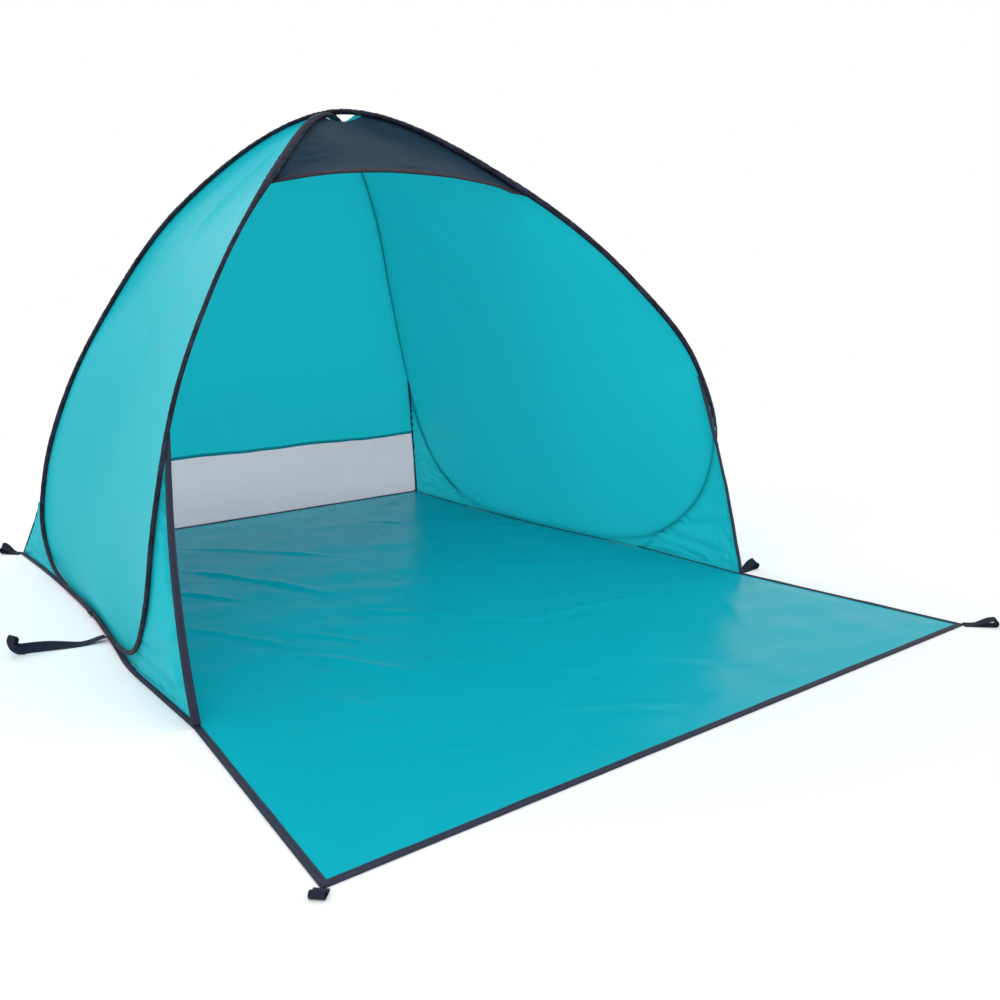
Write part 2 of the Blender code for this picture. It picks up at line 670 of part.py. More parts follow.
def add_stake_loop(name, corner, heading_deg, length, eye_radius, parent=None):
    """A folded loop of webbing for a stake. Its origin is on the hinge line of its stitching."""
    tail = length * LOOP_TAIL_SHARE
    nose = (length - WEBBING_THICKNESS - eye_radius, WEBBING_THICKNESS + eye_radius)
    outer = [(0.0, 0.0), *arc(nose, eye_radius + WEBBING_THICKNESS, -90, 110, NOSE_STEPS)]
    outer += [(tail, LOOP_HEIGHT), (0.0, LOOP_HEIGHT)]
    hole = [(tail, WEBBING_THICKNESS), *arc(nose, eye_radius, -90, 110, NOSE_STEPS)]
    hole += [(tail, WEBBING_THICKNESS + LOOP_STITCHING)]
    points, faces = extruded(outer, hole, WEBBING_WIDTH)
    points = [(x, y, z - LOOP_HEIGHT) for x, y, z in points]
    piece = add_piece(name, points, faces, "webbing")
    piece.rotation_euler = (0.0, 0.0, math.radians(heading_deg))
    place = Vector((*corner, LOOP_HEIGHT))
    if parent is None:
        piece.location = place
    else:
        piece.parent = parent
        piece.location = place - parent.location
    return piece


def beyond(corner, heading_deg, distance):
    angle = math.radians(heading_deg)
    return corner[0] + distance * math.cos(angle), corner[1] + distance * math.sin(angle)


def add_stake_loops(porch):
    rear_y = -DOOR_Y + TAPE_OUTSIDE
    far = DOOR_Y - PORCH_DEPTH - TAPE_OUTSIDE
    for side, sign in SIDES.items():
        rear_corner = (edge_x(sign, rear_y) + sign * TAPE_OUTSIDE, rear_y)
        heading = 90 - sign * 45
        add_stake_loop(f"rear_{side}_stake_loop", beyond(rear_corner, heading, SEAM_GAP), heading, LOOP_LENGTH,
                       LOOP_EYE_RADIUS)
        front_corner = (porch_edge_x(sign, far) + sign * TAPE_OUTSIDE, far)
        heading = sign * 45 - 90
        folded = side == "left"
        add_stake_loop(f"front_{side}_stake_loop", beyond(front_corner, heading, SEAM_GAP), heading,
                       FOLDED_LOOP_LENGTH if folded else LOOP_LENGTH,
                       FOLDED_EYE_RADIUS if folded else LOOP_EYE_RADIUS, porch)
    y = DOOR_Y + MID_LOOP_SETBACK
    reach = max(edge_x(1, y + share * WEBBING_WIDTH) for share in (-0.5, 0.5)) + TAPE_OUTSIDE + SEAM_GAP
    add_stake_loop("middle_right_stake_loop", (reach, y), 0.0, LOOP_LENGTH, LOOP_EYE_RADIUS)


def left_sleeve_x(hoop, y):
    """Where the axis of the left ground sleeve lies at a place along it."""
    run = hoop.points[hoop.run("left", hoop.station(FRONT_TOUCH_SHARE), hoop.station(REAR_TOUCH_SHARE))]
    return float(np.interp(y, run[:, 1], run[:, 0]))


def add_strap(hoop):
    """The long webbing strap on the left: it falls from the sleeve, lies out flat and ends in an upright loop."""
    y = depth_y(STRAP_DEPTH_SHARE)
    ends = [left_sleeve_x(hoop, y + share * WEBBING_WIDTH) for share in (-0.5, 0.5)]
    start = min(ends) - SLEEVE_SEAT
    half = WEBBING_THICKNESS / 2
    fall = np.linspace(0, 1, STRAP_STEPS // 2)
    path = [(STRAP_DROP * share, half + (HOOP_LOW - half) * (1 + math.cos(math.pi * share)) / 2) for share in fall]
    path += [(STRAP_DROP + (STRAP_LENGTH - STRAP_DROP) * share, half) for share in np.linspace(0, 1, STRAP_STEPS)[1:]]
    centre = (STRAP_LENGTH, STRAP_EYE_RADIUS + STRAP_STEM)
    path += arc((STRAP_LENGTH, STRAP_STEM), STRAP_STEM - half, -75, -15, 3)
    path += arc(centre, STRAP_EYE_RADIUS, -10, 250, NOSE_STEPS)
    path = np.array(path)
    slope = np.gradient(path, axis=0)
    square = unit(np.stack([-slope[:, 1], slope[:, 0]], axis=1)) * half
    points = []
    for (out, up), (side_out, side_up) in zip(path, square):
        for turn, across in ((1, 0.5), (1, -0.5), (-1, -0.5), (-1, 0.5)):
            points.append((start - out - turn * side_out, y + across * WEBBING_WIDTH, up + turn * side_up))
    axis = (start, y, HOOP_LOW + half)
    add_piece("pull_strap", points, tube_faces(len(path), 4, hollow=False), "webbing", axis)


def add_tab(hoop):
    """A short piece of webbing folded round the outside of the left ground sleeve."""
    y = depth_y(TAB_DEPTH_SHARE)
    radii = [SLEEVE_SEAT, SLEEVE_SEAT + WEBBING_THICKNESS]
    first, last = TAB_REACH_DEG
    section = arc((0, 0), radii[1], first, last, NOSE_STEPS) + arc((0, 0), radii[0], last, first, NOSE_STEPS)
    ends = [y - WEBBING_WIDTH / 2, y + WEBBING_WIDTH / 2]
    points = [(left_sleeve_x(hoop, end) - out, end, HOOP_LOW + up) for end in ends for out, up in section]
    add_piece("sleeve_tab", points, tube_faces(2, len(section), hollow=False), "webbing")


def add_porch_axis():
    """The empty on the line where the mat in front folds up from the body floor."""
    empty = bpy.data.objects.new("porch_axis", None)
    empty.location = PORCH_AXIS
    bpy.context.scene.collection.objects.link(empty)
    return empty


def main():
    clear_scene()
    hoop = Hoop()
    add_wire(hoop)
    add_crimp(hoop)
    add_sleeves(hoop)
    rear_legs = {}
    for side in SIDES:
        add_side_panel(hoop, side)
        front_leg = Leg(hoop, side, FRONT_SPLIT_SHARE, FRONT_GUSSET_END_SHARE, DOOR_Y)
        rear_leg = Leg(hoop, side, REAR_SPLIT_SHARE, REAR_GUSSET_END_SHARE, -DOOR_Y)
        front_leg.add(f"{side}_front_leg_binding")
        rear_leg.add(f"{side}_rear_leg_binding")
        add_gusset(hoop, side, front_leg, f"{side}_front_gusset")
        add_gusset(hoop, side, rear_leg, f"{side}_rear_gusset")
        rear_legs[side] = rear_leg
    add_rear(hoop, rear_legs)
    add_eave(hoop)
    porch = add_porch_axis()
    add_floors(porch)
    add_bindings(porch)
    add_stake_loops(porch)
    add_strap(hoop)
    add_tab(hoop)


main()
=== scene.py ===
"""The look of the pop-up beach tent: its cloth, sleeves, tapes, webbing and net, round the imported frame."""
import json
import math

import bpy
import numpy as np
from bpy.props import FloatProperty, FloatVectorProperty, IntProperty, PointerProperty
from mathutils import Matrix, Vector


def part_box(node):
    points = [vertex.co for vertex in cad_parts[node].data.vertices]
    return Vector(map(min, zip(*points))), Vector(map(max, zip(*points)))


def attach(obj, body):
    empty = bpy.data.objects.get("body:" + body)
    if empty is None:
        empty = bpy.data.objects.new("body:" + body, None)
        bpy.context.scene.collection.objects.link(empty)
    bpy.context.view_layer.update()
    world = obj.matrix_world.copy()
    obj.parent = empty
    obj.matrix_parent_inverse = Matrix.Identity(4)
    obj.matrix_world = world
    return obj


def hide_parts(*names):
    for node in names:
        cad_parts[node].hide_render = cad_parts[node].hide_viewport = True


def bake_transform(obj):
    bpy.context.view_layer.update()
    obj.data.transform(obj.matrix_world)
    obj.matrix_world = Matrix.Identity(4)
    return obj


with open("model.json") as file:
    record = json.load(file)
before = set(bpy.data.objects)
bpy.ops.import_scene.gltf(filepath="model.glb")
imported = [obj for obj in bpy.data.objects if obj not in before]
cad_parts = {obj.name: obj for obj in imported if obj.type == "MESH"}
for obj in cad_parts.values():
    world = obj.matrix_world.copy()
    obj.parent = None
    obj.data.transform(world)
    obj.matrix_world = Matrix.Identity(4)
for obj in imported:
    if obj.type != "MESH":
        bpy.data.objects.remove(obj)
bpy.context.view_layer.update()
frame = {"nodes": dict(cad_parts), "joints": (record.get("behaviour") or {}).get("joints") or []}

bl_info = {
    "name": "Beach tent",
    "version": (1, 0, 0),
    "blender": (4, 5, 0),
    "location": "3D View > Sidebar > Beach tent",
    "description": "Dresses the packed beach tent in cloth, tape, webbing and net",
    "category": "Object",
}

# The frame's own sizes
FLOOR_LOW, FLOOR_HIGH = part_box("body_floor")
MAT_LOW, MAT_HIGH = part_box("porch_floor")
WIRE_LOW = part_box("spring_wire")[0]
HINGE = Vector(next(joint for joint in frame["joints"] if joint["name"] == "porch_fold")["pos_m"])
DOOR_Y = HINGE.y
TAPE_TOP = HINGE.z
REAR_Y = FLOOR_HIGH.y
FAR_Y = MAT_LOW.y
BODY_DEPTH = REAR_Y - DOOR_Y
MAT_DEPTH = DOOR_Y - FAR_Y
FLOOR_LENGTH = REAR_Y - FAR_Y
MAT_FAR_WIDTH = MAT_HIGH.x - MAT_LOW.x
FLOOR_TOP = FLOOR_HIGH.z
FRONT_WIDTH = FLOOR_HIGH.x - FLOOR_LOW.x
REAR_WIDTH = 1.48
WIRE_RADIUS = 0.002
SLEEVE_RADIUS = 0.0068
UPPER_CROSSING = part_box("left_rear_sleeve")[1].z - SLEEVE_RADIUS
CROSSING_GAP = 0.001
LOWER_CROSSING = UPPER_CROSSING - 2 * SLEEVE_RADIUS - CROSSING_GAP
HOOP_LOW = WIRE_LOW.z + WIRE_RADIUS
SLEEVE_BORE = 0.0032
SLEEVE_GAP = 0.0003
HEM_HEIGHT = 0.0104
LEG_INSET = 0.005
LEG_FOOT_HEIGHT = TAPE_TOP + 0.0004
SEAM_INSET = 0.0112
# Reach of the painted shade beside sewn edges, which each cloth scales to its own band
SEAM_SHADE_BAND = 0.012
GUSSET_INSET = 0.0095
EAVE_TAPE_WIDTH = 0.0235
WEBBING_WIDTH = 0.025
WEBBING_THICKNESS = 0.0016
FRONT_LEG_BOW = -0.015

# By side: how far the rear legs bow, and how deep the pockets of the rear and the front strands are
REAR_LEG_BOWS = {-1: 0.011, 1: 0.002}
POCKET_DEPTHS = {-1: (0.0032, 0.0), 1: (0.0010, 0.0052)}

# The wire's route and the seams along it, as shares of those sizes
EDGE_BOW_SHARES = (
    (0.0, 0.0), (0.13, 0.009), (0.26, 0.015), (0.37, -0.004),
    (0.52, -0.024), (0.68, -0.025), (0.85, -0.016), (1.0, 0.0),
)
REAR_STRAND_SHARES = (
    (0.392, 0.733, 0.803), (0.590, 0.842, 0.587), (0.726, 0.902, 0.395),
    (0.814, 0.917, 0.229), (0.866, 0.882, 0.103), (0.892, 0.798, 0.029),
)
GROUND_RUN_SHARES = (0.68, 0.52, 0.36)
FRONT_STRAND_SHARES = (
    (0.994, 0.213, 0.040), (1.016, 0.122, 0.144), (1.004, 0.084, 0.295),
    (0.924, 0.104, 0.466), (0.748, 0.176, 0.642), (0.454, 0.300, 0.835),
)
APEX_DEPTH_SHARE = 0.53
TIP_SHARE = 0.0135
REAR_SPLIT_SHARE = 0.27
REAR_GUSSET_END_SHARE = 0.39
FRONT_GUSSET_END_SHARE = 0.567
REAR_TOUCH_SHARE = 24 / 56
FRONT_TOUCH_SHARE = 32 / 56
FRONT_SPLIT_SHARE = 40 / 56
EAVE_SHARE = 0.875
EAVE_TOP_SHARE = 55 / 56
EAVE_VENT_SAG = 0.013
REAR_LEG_SHARE = 5 / 6
FRONT_LEG_SHARE = 5 / 8
MIDDLE_SHARE = (0.0, 0.06, 0.31)

# How finely the wire and the cloth are drawn
SPAN_STEPS = 64
STRAND_ROWS = 121
LEAF_COLUMNS = 65
REAR_COLUMNS = REAR_STRAND_ROWS = 97
REAR_LEG_ROWS = 16
HEM_ROWS = 3
WINDOW_ROWS = 24
HEM_ROW = REAR_STRAND_ROWS + REAR_LEG_ROWS - 1
WINDOW_ROW = HEM_ROW + HEM_ROWS
GUSSET_ROWS = 161
GUSSET_COLUMNS = 73
EAVE_ROWS = 81
EAVE_COLUMNS = 161
SETTLE_PASSES = 260
OVER_RELAX = 1.85
FLOOR_ROWS = 193
FLOOR_COLUMNS = 145
EDGE_POINTS = 60
BINDING_STEP = 0.012
LEG_ROWS = 121
LEG_SIDES = 16
STITCHED_LEG_ROWS = slice(14, -3)
SLEEVE_STEP = 0.0038
SLEEVE_SIDES = 28
BORE_EVERY = 8
STRAP_POINTS = 48
STRAP_LOOP_STEP = 8

SIDES = {"left": -1, "right": 1}
UP = np.array([0.0, 0.0, 1.0])
WEAVE_MAP = "Weave"
SEAM_FIELD = "seam_distance"
SIDE_EDGES = ("start", "end")
ALL_EDGES = ("first", "last", "start", "end")


def linear(hex_colour):
    """A written colour as the linear numbers that a shader takes."""
    values = [int(hex_colour[place:place + 2], 16) / 255 for place in (0, 2, 4)]
    return [value / 12.92 if value <= 0.04045 else ((value + 0.055) / 1.055) ** 2.4 for value in values]


def colour_property(label, text, hex_colour):
    return FloatVectorProperty(name=label, description=text, subtype="COLOR", size=3, min=0.0, max=1.0,
                               default=linear(hex_colour))


def length_property(label, text, metres, low=0.0, high=1.0):
    return FloatProperty(name=label, description=text, default=metres, min=low, max=high, unit="LENGTH",
                         subtype="DISTANCE", precision=4)


class TentColours(bpy.types.PropertyGroup):
    """Colours of the tent's cloths and tapes."""
    panel: colour_property("Panels", "Taffeta of the side panels, the rear panel and the gussets", "21CED9")
    floor: colour_property("Floor", "Coated cloth of the floor and the mat", "0CABBA")
    eave: colour_property("Eave", "Dark taffeta over the doorway", "22394A")
    eave_tape: colour_property("Eave tape", "Ribbed tape along the eave's edge", "1F1A29")
    net: colour_property("Net", "Knitted net of the rear window", "AAA3BE")
    hem: colour_property("Hem", "Folded hem over the window", "1CB2BE")
    sleeve: colour_property("Sleeves", "Dark cloth of the wire sleeves", "10131E")
    # Painted highlight: a lighter colour that stands for light on the sleeves, not a colour of the cloth
    sleeve_highlight: colour_property("Sleeve ridges", "Where the ruched sleeves catch the light", "2D3346")
    tape: colour_property("Binding tape", "Ribbed tape round the floor and down the legs", "2E3243")
    thread: colour_property("Thread", "Stitches in the tapes", "5A5768")
    webbing: colour_property("Webbing", "Woven stake loops, strap and tab", "1D2133")
    steel: colour_property("Spring steel", "The wire", "8E9298")
    crimp: colour_property("Crimp", "The ferrule that joins the wire's ends", "B9BCC0")
    stage: colour_property("Stage", "The floor under the tent", "E8E8E8")


class TentSizes(bpy.types.PropertyGroup):
    """Sizes of the finish that a maker would change."""
    hem: length_property("Hem thickness", "Thickness of the folded hem", 0.0014, 0.0002, 0.005)
    floor_cloth: length_property("Floor thickness", "Thickness of the coated cloth", 0.0009, 0.0002, 0.003)
    ruche: length_property("Ruche depth", "Depth of the sleeves' gathers at the top", 0.0012, 0.0, 0.005)
    ruche_low: length_property("Low ruche depth", "Depth of the gathers lower down", 0.0005, 0.0, 0.005)
    tape_lip: length_property("Tape lip", "How far tape reaches in over the floor", 0.0125, 0.005, 0.03)
    stitch: length_property("Stitch length", "Length of one stitch", 0.0032, 0.001, 0.01)
    stitch_gap: length_property("Stitch gap", "Gap between stitches", 0.0016, 0.0005, 0.01)
    net_pitch: length_property("Net pitch", "Distance between the net's threads", 0.0032, 0.001, 0.02)
    weave_pitch: length_property("Weave pitch", "Distance between the cloth's threads", 0.0011, 0.0002, 0.01)
    seed: IntProperty(name="Seed", description="Number that settles every random draw", default=7, min=0)


def unit(vector):
    return vector / np.maximum(np.linalg.norm(vector, axis=-1, keepdims=True), 1e-12)


def square_to(vector, tangent):
    """The part of a direction that is square to a tangent, with a length of one."""
    return unit(vector - tangent * (vector * tangent).sum(axis=-1, keepdims=True))


def smooth_step(value, low, high):
    share = np.clip((np.asarray(value, float) - low) / (high - low), 0.0, 1.0)
    return share * share * (3 - 2 * share)


def rise_and_fall(value, rise_low, rise_high, fall_low, fall_high):
    """One inside a range of values and nought outside it, with a smooth rise and a smooth fall."""
    return smooth_step(value, rise_low, rise_high) * (1 - smooth_step(value, fall_low, fall_high))


def smooth_spans(knots, closed):
    """A smooth curve through the knots, as one run of points for each span."""
    knots = np.asarray(knots, float)
    if closed:
        before, after = np.roll(knots, 1, axis=0), np.roll(knots, -1, axis=0)
    else:
        before = np.vstack([2 * knots[0] - knots[1], knots[:-1]])
        after = np.vstack([knots[1:], 2 * knots[-1] - knots[-2]])
    back = np.linalg.norm(knots - before, axis=1)[:, None]
    ahead = np.linalg.norm(after - knots, axis=1)[:, None]
    slopes = ((knots - before) / back * ahead + (after - knots) / ahead * back) / (back + ahead)
    share = (np.arange(SPAN_STEPS) / SPAN_STEPS)[:, None]
    spans = []
    for here in range(len(knots) if closed else len(knots) - 1):
        there = (here + 1) % len(knots)
        spans.append(
            (2 * share**3 - 3 * share**2 + 1) * knots[here]
            + (share**3 - 2 * share**2 + share) * ahead[here] * slopes[here]
            + (3 * share**2 - 2 * share**3) * knots[there]
            + (share**3 - share**2) * ahead[here] * slopes[there]
        )
    return spans


def travelled_along(points):
    steps = np.linalg.norm(np.diff(points, axis=0), axis=1)
    return np.concatenate([[0.0], np.cumsum(steps)])


def read_along(points, distances):
    travelled = travelled_along(points)
    return np.stack([np.interp(distances, travelled, points[:, axis]) for axis in range(3)], axis=1)


def floor_edge(side):
    """The side edge of the body floor on the ground, from the doorway to the rear."""
    knots = []
    for depth, bow in EDGE_BOW_SHARES:
        straight = FRONT_WIDTH / 2 + (REAR_WIDTH - FRONT_WIDTH) / 2 * depth
        knots.append((side * (straight + bow * FRONT_WIDTH / 2), DOOR_Y + depth * BODY_DEPTH, 0.0))
    return np.vstack([*smooth_spans(knots, closed=False), knots[-1]])


FLOOR_EDGES = {side: floor_edge(side) for side in SIDES.values()}


def edge_x(side, y):
    """Where the floor's side edge lies at a depth, on the body and on the mat."""
    edge = FLOOR_EDGES[side]
    on_mat = np.clip((DOOR_Y - y) / MAT_DEPTH, 0.0, 1.0)
    mat = side * (FRONT_WIDTH + (MAT_FAR_WIDTH - FRONT_WIDTH) * on_mat) / 2
    return np.where(np.asarray(y) < DOOR_Y, mat, np.interp(y, edge[:, 1], edge[:, 0]))


def depth_y(share):
    return DOOR_Y + share * BODY_DEPTH


class Leaf:
    """One side's half of the wire, from the crossing down at the rear, along the ground and up again."""

    def __init__(self, route, side):
        self.route = route
        self.side = side
        self.travelled = travelled_along(route)
        self.length = self.travelled[-1]

    def at(self, shares):
        return read_along(self.route, np.asarray(shares, float) * self.length)

    def tangents(self, shares):
        step = 0.002
        shares = np.asarray(shares, float)
        return unit(self.at(np.minimum(shares + step, 1.0)) - self.at(np.maximum(shares - step, 0.0)))

    def outward(self, shares):
        """Directions square to the wire that point away from the tent's middle, and sideways low down."""
        away = unit(self.at(shares) - np.array(MIDDLE_SHARE) * tent_scale())
        low = rise_and_fall(shares, 0.22, 0.30, 0.70, 0.76)[:, None]
        return square_to(away * (1 - low) + np.array([self.side, 0.0, 0.0]) * low, self.tangents(shares))

    def toward_leaf(self, shares):
        """Directions square to the wire that point at the strand on the other side of the leaf."""
        return square_to(self.at(1 - shares) - self.at(shares), self.tangents(shares))

    def fullness(self, shares):
        """One at the crossing, where the sleeve is a wide gathered pocket, and nought where it is snug."""
        snug = np.where(shares < 0.5, smooth_step(shares, 0.06, 0.34), smooth_step(1 - shares, 0.11, 0.17))
        return 1 - snug

    def half_width(self, shares):
        """Half of the sleeve's width, which is less on the front strand where it is snug."""
        front = 0.0009 * smooth_step(shares, 0.62, 0.68)
        return 0.0060 - front + (0.0055 + front) * self.fullness(shares)

    def outer_height(self, shares):
        """How far the cloth stands outside the wire: more where the pocket hangs loose."""
        rear, front = POCKET_DEPTHS[self.side]
        loose = rise_and_fall(np.minimum(shares, 1 - shares), 0.03, 0.13, 0.33, 0.41)
        return 0.0052 + np.where(shares < 0.5, rear, front) * loose

    def inner_height(self, shares):
        """How far the cloth stands inside the wire: more at the front of the crossing."""
        return 0.0050 + 0.0036 * (1 - smooth_step(1 - shares, 0.08, 0.20))

    def seam(self, shares):
        """The line on the sleeve along which the cloth pieces meet. Low down it drops to the floor's edge."""
        place = self.at(shares)
        door = rise_and_fall(shares, FRONT_SPLIT_SHARE - 0.02, FRONT_SPLIT_SHARE + 0.015,
                             EAVE_SHARE - 0.015, EAVE_SHARE + 0.01)[:, None]
        tuck = 0.0006 - 0.0009 * rise_and_fall(shares, 0.24, 0.30, 0.68, 0.71)
        tucked = (self.inner_height(shares) - tuck)[:, None]
        beside = (self.half_width(shares) - 0.002)[:, None]
        aim = unit(self.toward_leaf(shares) * door - self.outward(shares) * (1 - door))
        line = place + aim * (tucked * (1 - door) + beside * door)
        ground = 1 - smooth_step(place[:, 2] - HOOP_LOW, 0.021, 0.050)[:, None]
        place[:, 0] -= self.side * SEAM_INSET
        place[:, 2] = TAPE_TOP + 0.0003
        return line * (1 - ground) + place * ground


def tent_scale():
    """Width, depth and height that the middle of the tent is a share of."""
    return np.array([FRONT_WIDTH, BODY_DEPTH, UPPER_CROSSING])


class Leg:
    """A bound seam that runs from a strand to a corner of the floor, drawn aside a little by the cloth."""

    def __init__(self, leaf, split_share, foot_y):
        at_front = foot_y < 0
        inward = 1 if at_front else -1
        edge = float(edge_x(leaf.side, foot_y + inward * 1e-4))
        self.foot = np.array([edge - leaf.side * LEG_INSET, foot_y + inward * LEG_INSET, LEG_FOOT_HEIGHT])
        self.top = leaf.seam(np.array([split_share]))[0]
        if at_front:
            self.bow = FRONT_LEG_BOW * square_to(self.foot - self.top, leaf.tangents([split_share])[0])
        else:
            self.bow = np.array([REAR_LEG_BOWS[leaf.side], 0.0, 0.0])

    def at(self, shares):
        shares = np.asarray(shares, float)[:, None]
        return self.top + shares * (self.foot - self.top) + self.bow * 4 * shares * (1 - shares)

    def level(self, height):
        """The place on the leg at a height."""
        share = np.linspace(0, 1, 201)
        line = self.at(share)
        return self.at([np.interp(-height, -line[:, 2], share)])[0]


def hoop_leaves():
    """The two halves of the wire's figure of eight, which crosses itself at the top."""
    rise = UPPER_CROSSING - HOOP_LOW
    half = FRONT_WIDTH / 2
    middle = depth_y(APEX_DEPTH_SHARE)
    upper, lower = (0.0, middle, UPPER_CROSSING), (0.0, middle, LOWER_CROSSING)
    knots = {}
    for name, side in SIDES.items():
        rear, front = [[(side * out * half, depth_y(depth), HOOP_LOW + up * rise) for out, depth, up in table]
                       for table in (REAR_STRAND_SHARES, FRONT_STRAND_SHARES)]
        ground = [(float(edge_x(side, y)), y, HOOP_LOW) for y in map(depth_y, GROUND_RUN_SHARES)]
        knots[name] = [*rear, *ground, *front]
    spans = smooth_spans([upper, *knots["left"], lower, *knots["right"]], closed=True)
    turn = len(knots["left"]) + 1
    leaves = {}
    for name, part, end in (("left", spans[:turn], lower), ("right", spans[turn:], upper)):
        route = np.vstack([*part, end])
        route[:, 2] = np.maximum(route[:, 2], HOOP_LOW)
        leaves[name] = Leaf(route, SIDES[name])
    return leaves


LEAVES = hoop_leaves()
REAR_LEGS = {name: Leg(leaf, REAR_SPLIT_SHARE, REAR_Y) for name, leaf in LEAVES.items()}
FRONT_LEGS = {name: Leg(leaf, FRONT_SPLIT_SHARE, DOOR_Y) for name, leaf in LEAVES.items()}


def stretch(rail_a, rail_b, columns, foot=None):
    """Straight lines from rail to rail, as a net of points. A foot replaces the last line."""
    share = np.linspace(0, 1, columns)[None, :, None]
    net = rail_a[:, None, :] * (1 - share) + rail_b[:, None, :] * share
    if foot is not None:
        net[-1] = foot
    return net


def settle(net):
    """Lets tight cloth settle, until every inner point lies at the mean of its four neighbours."""
    rows, columns = np.indices(net.shape[:2])
    inner = net[1:-1, 1:-1]
    chess = ((rows + columns) % 2)[1:-1, 1:-1, None]
    for _ in range(SETTLE_PASSES):
        for colour in (0, 1):
            mean = (net[:-2, 1:-1] + net[2:, 1:-1] + net[1:-1, :-2] + net[1:-1, 2:]) / 4
            inner += (chess == colour) * OVER_RELAX * (mean - inner)
    return net


def normals_of(net):
    """Directions square to a net at each of its points."""
    down = np.gradient(net, axis=0)
    over = np.gradient(net, axis=1)
    return unit(np.cross(over, down))


def ripples(places, lengths, count, seed):
    """Soft random waves over places in metres, with wavelengths between two lengths, from about -1 to 1."""
    draws = np.random.default_rng(seed)
    total = np.zeros(places.shape[:-1])
    for _ in range(count):
        heading, phase, blend = draws.uniform(0, 2 * math.pi), draws.uniform(0, 2 * math.pi), draws.uniform()
        wave = lengths[0] * (lengths[1] / lengths[0]) ** blend
        distance = places[..., 0] * math.cos(heading) + places[..., 1] * math.sin(heading)
        total += np.sin(2 * math.pi * distance / wave + phase)
    return total / math.sqrt(count / 2)


def crease(places, start, end, width, height, bow=0.0, skirt=0.5):
    """One soft crease from start to end: a ridge with a shallower valley beside it, tapered to both ends."""
    start, end = np.asarray(start, float), np.asarray(end, float)
    run = end - start
    length = np.linalg.norm(run)
    run /= length
    side = np.array([-run[1], run[0]])
    offset = places - start
    share = (offset @ run) / length
    bent = offset @ side - bow * length * 4 * share * (1 - share)
    taper = rise_and_fall(share, -0.08, 0.3, 0.65, 1.08)
    ridge = np.exp(-(bent / width) ** 2)
    valley = np.exp(-((bent + 2.1 * width) / (1.6 * width)) ** 2)
    return height * taper * (ridge - skirt * valley)


def grain_axes(net):
    """Two directions in the cloth's mean plane: level and up the cloth."""
    mean = unit(normals_of(net).reshape(-1, 3).mean(axis=0))
    level = np.cross(UP, mean)
    level = unit(level) if np.linalg.norm(level) > 0.2 else np.array([1.0, 0.0, 0.0])
    return level, np.cross(mean, level)


def plane_places(net):
    """Where a net's points lie along those two directions, in metres."""
    level, up = grain_axes(net)
    return np.stack([net @ level, net @ up], axis=-1)


def net_area(net):
    a, b, c, d = net[:-1, :-1], net[:-1, 1:], net[1:, 1:], net[1:, :-1]
    first = np.linalg.norm(np.cross(b - a, c - a), axis=-1)
    second = np.linalg.norm(np.cross(c - a, d - a), axis=-1)
    return float((first + second).sum() / 2)


def flat_cut(net):
    """Width, length and area that the cloth was cut to, in the smallest rectangle that holds it."""
    places = plane_places(net).reshape(-1, 2)
    rectangles = []
    for turn in np.radians(np.arange(0, 90, 2)):
        cosine, sine = math.cos(turn), math.sin(turn)
        rectangles.append(np.ptp(places @ np.array([[cosine, -sine], [sine, cosine]]), axis=0))
    spans = min(rectangles, key=np.prod)
    area = net_area(net)
    growth = max(math.sqrt(area / spans.prod()), 1.0)
    width, length = (round(float(span) * growth, 3) for span in spans)
    return width, length, min(area, width * length)


def mesh_object(name, points, faces, finish, weave=None, seam=None):
    """A smooth-shaded object from points and faces, with the map that its weave follows."""
    mesh = bpy.data.meshes.new(name)
    places = np.asarray(points, float).reshape(-1, 3).tolist()
    mesh.from_pydata(places, [], [list(map(int, face)) for face in faces])
    mesh.materials.append(finish_named(finish))
    if weave is not None:
        corners = np.zeros(len(mesh.loops), np.int32)
        mesh.loops.foreach_get("vertex_index", corners)
        layer = mesh.uv_layers.new(name=WEAVE_MAP)
        layer.uv.foreach_set("vector", np.asarray(weave, np.float32).reshape(-1, 2)[corners].ravel())
    if seam is not None:
        field = mesh.attributes.new(SEAM_FIELD, "FLOAT", "POINT")
        field.data.foreach_set("value", np.asarray(seam, np.float32).ravel())
    mesh.shade_smooth()
    piece = bpy.data.objects.new(name, mesh)
    bpy.context.scene.collection.objects.link(piece)
    return piece


def grid_faces(rows, columns, wrap=False):
    index = np.arange(rows * columns).reshape(rows, columns)
    if wrap:
        index = np.hstack([index, index[:, :1]])
    return np.stack([index[:-1, :-1], index[:-1, 1:], index[1:, 1:], index[1:, :-1]], axis=-1).reshape(-1, 4)


def seam_distances(net, edges):
    """How far each point of a net lies from the nearest of its sewn edges, in metres."""
    rails = {"first": net[:1], "last": net[-1:], "start": net[:, :1], "end": net[:, -1:]}
    flat = net.reshape(-1, 3)
    nearest = np.full(len(flat), 1.0)
    batch = 2048
    for edge in edges:
        rail = rails[edge].reshape(-1, 3)
        for place in range(0, len(flat), batch):
            part = slice(place, place + batch)
            gap = np.sqrt(((flat[part, None] - rail[None]) ** 2).sum(-1)).min(1)
            nearest[part] = np.minimum(nearest[part], gap)
    return nearest.reshape(net.shape[:2])


def seat(piece, slot, body, *nodes):
    """Hides the solids that a piece stands for and attaches it to the body that it rides on. The slot is not
    used.
    """
    if nodes:
        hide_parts(*nodes)
    if body:
        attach(piece, body)


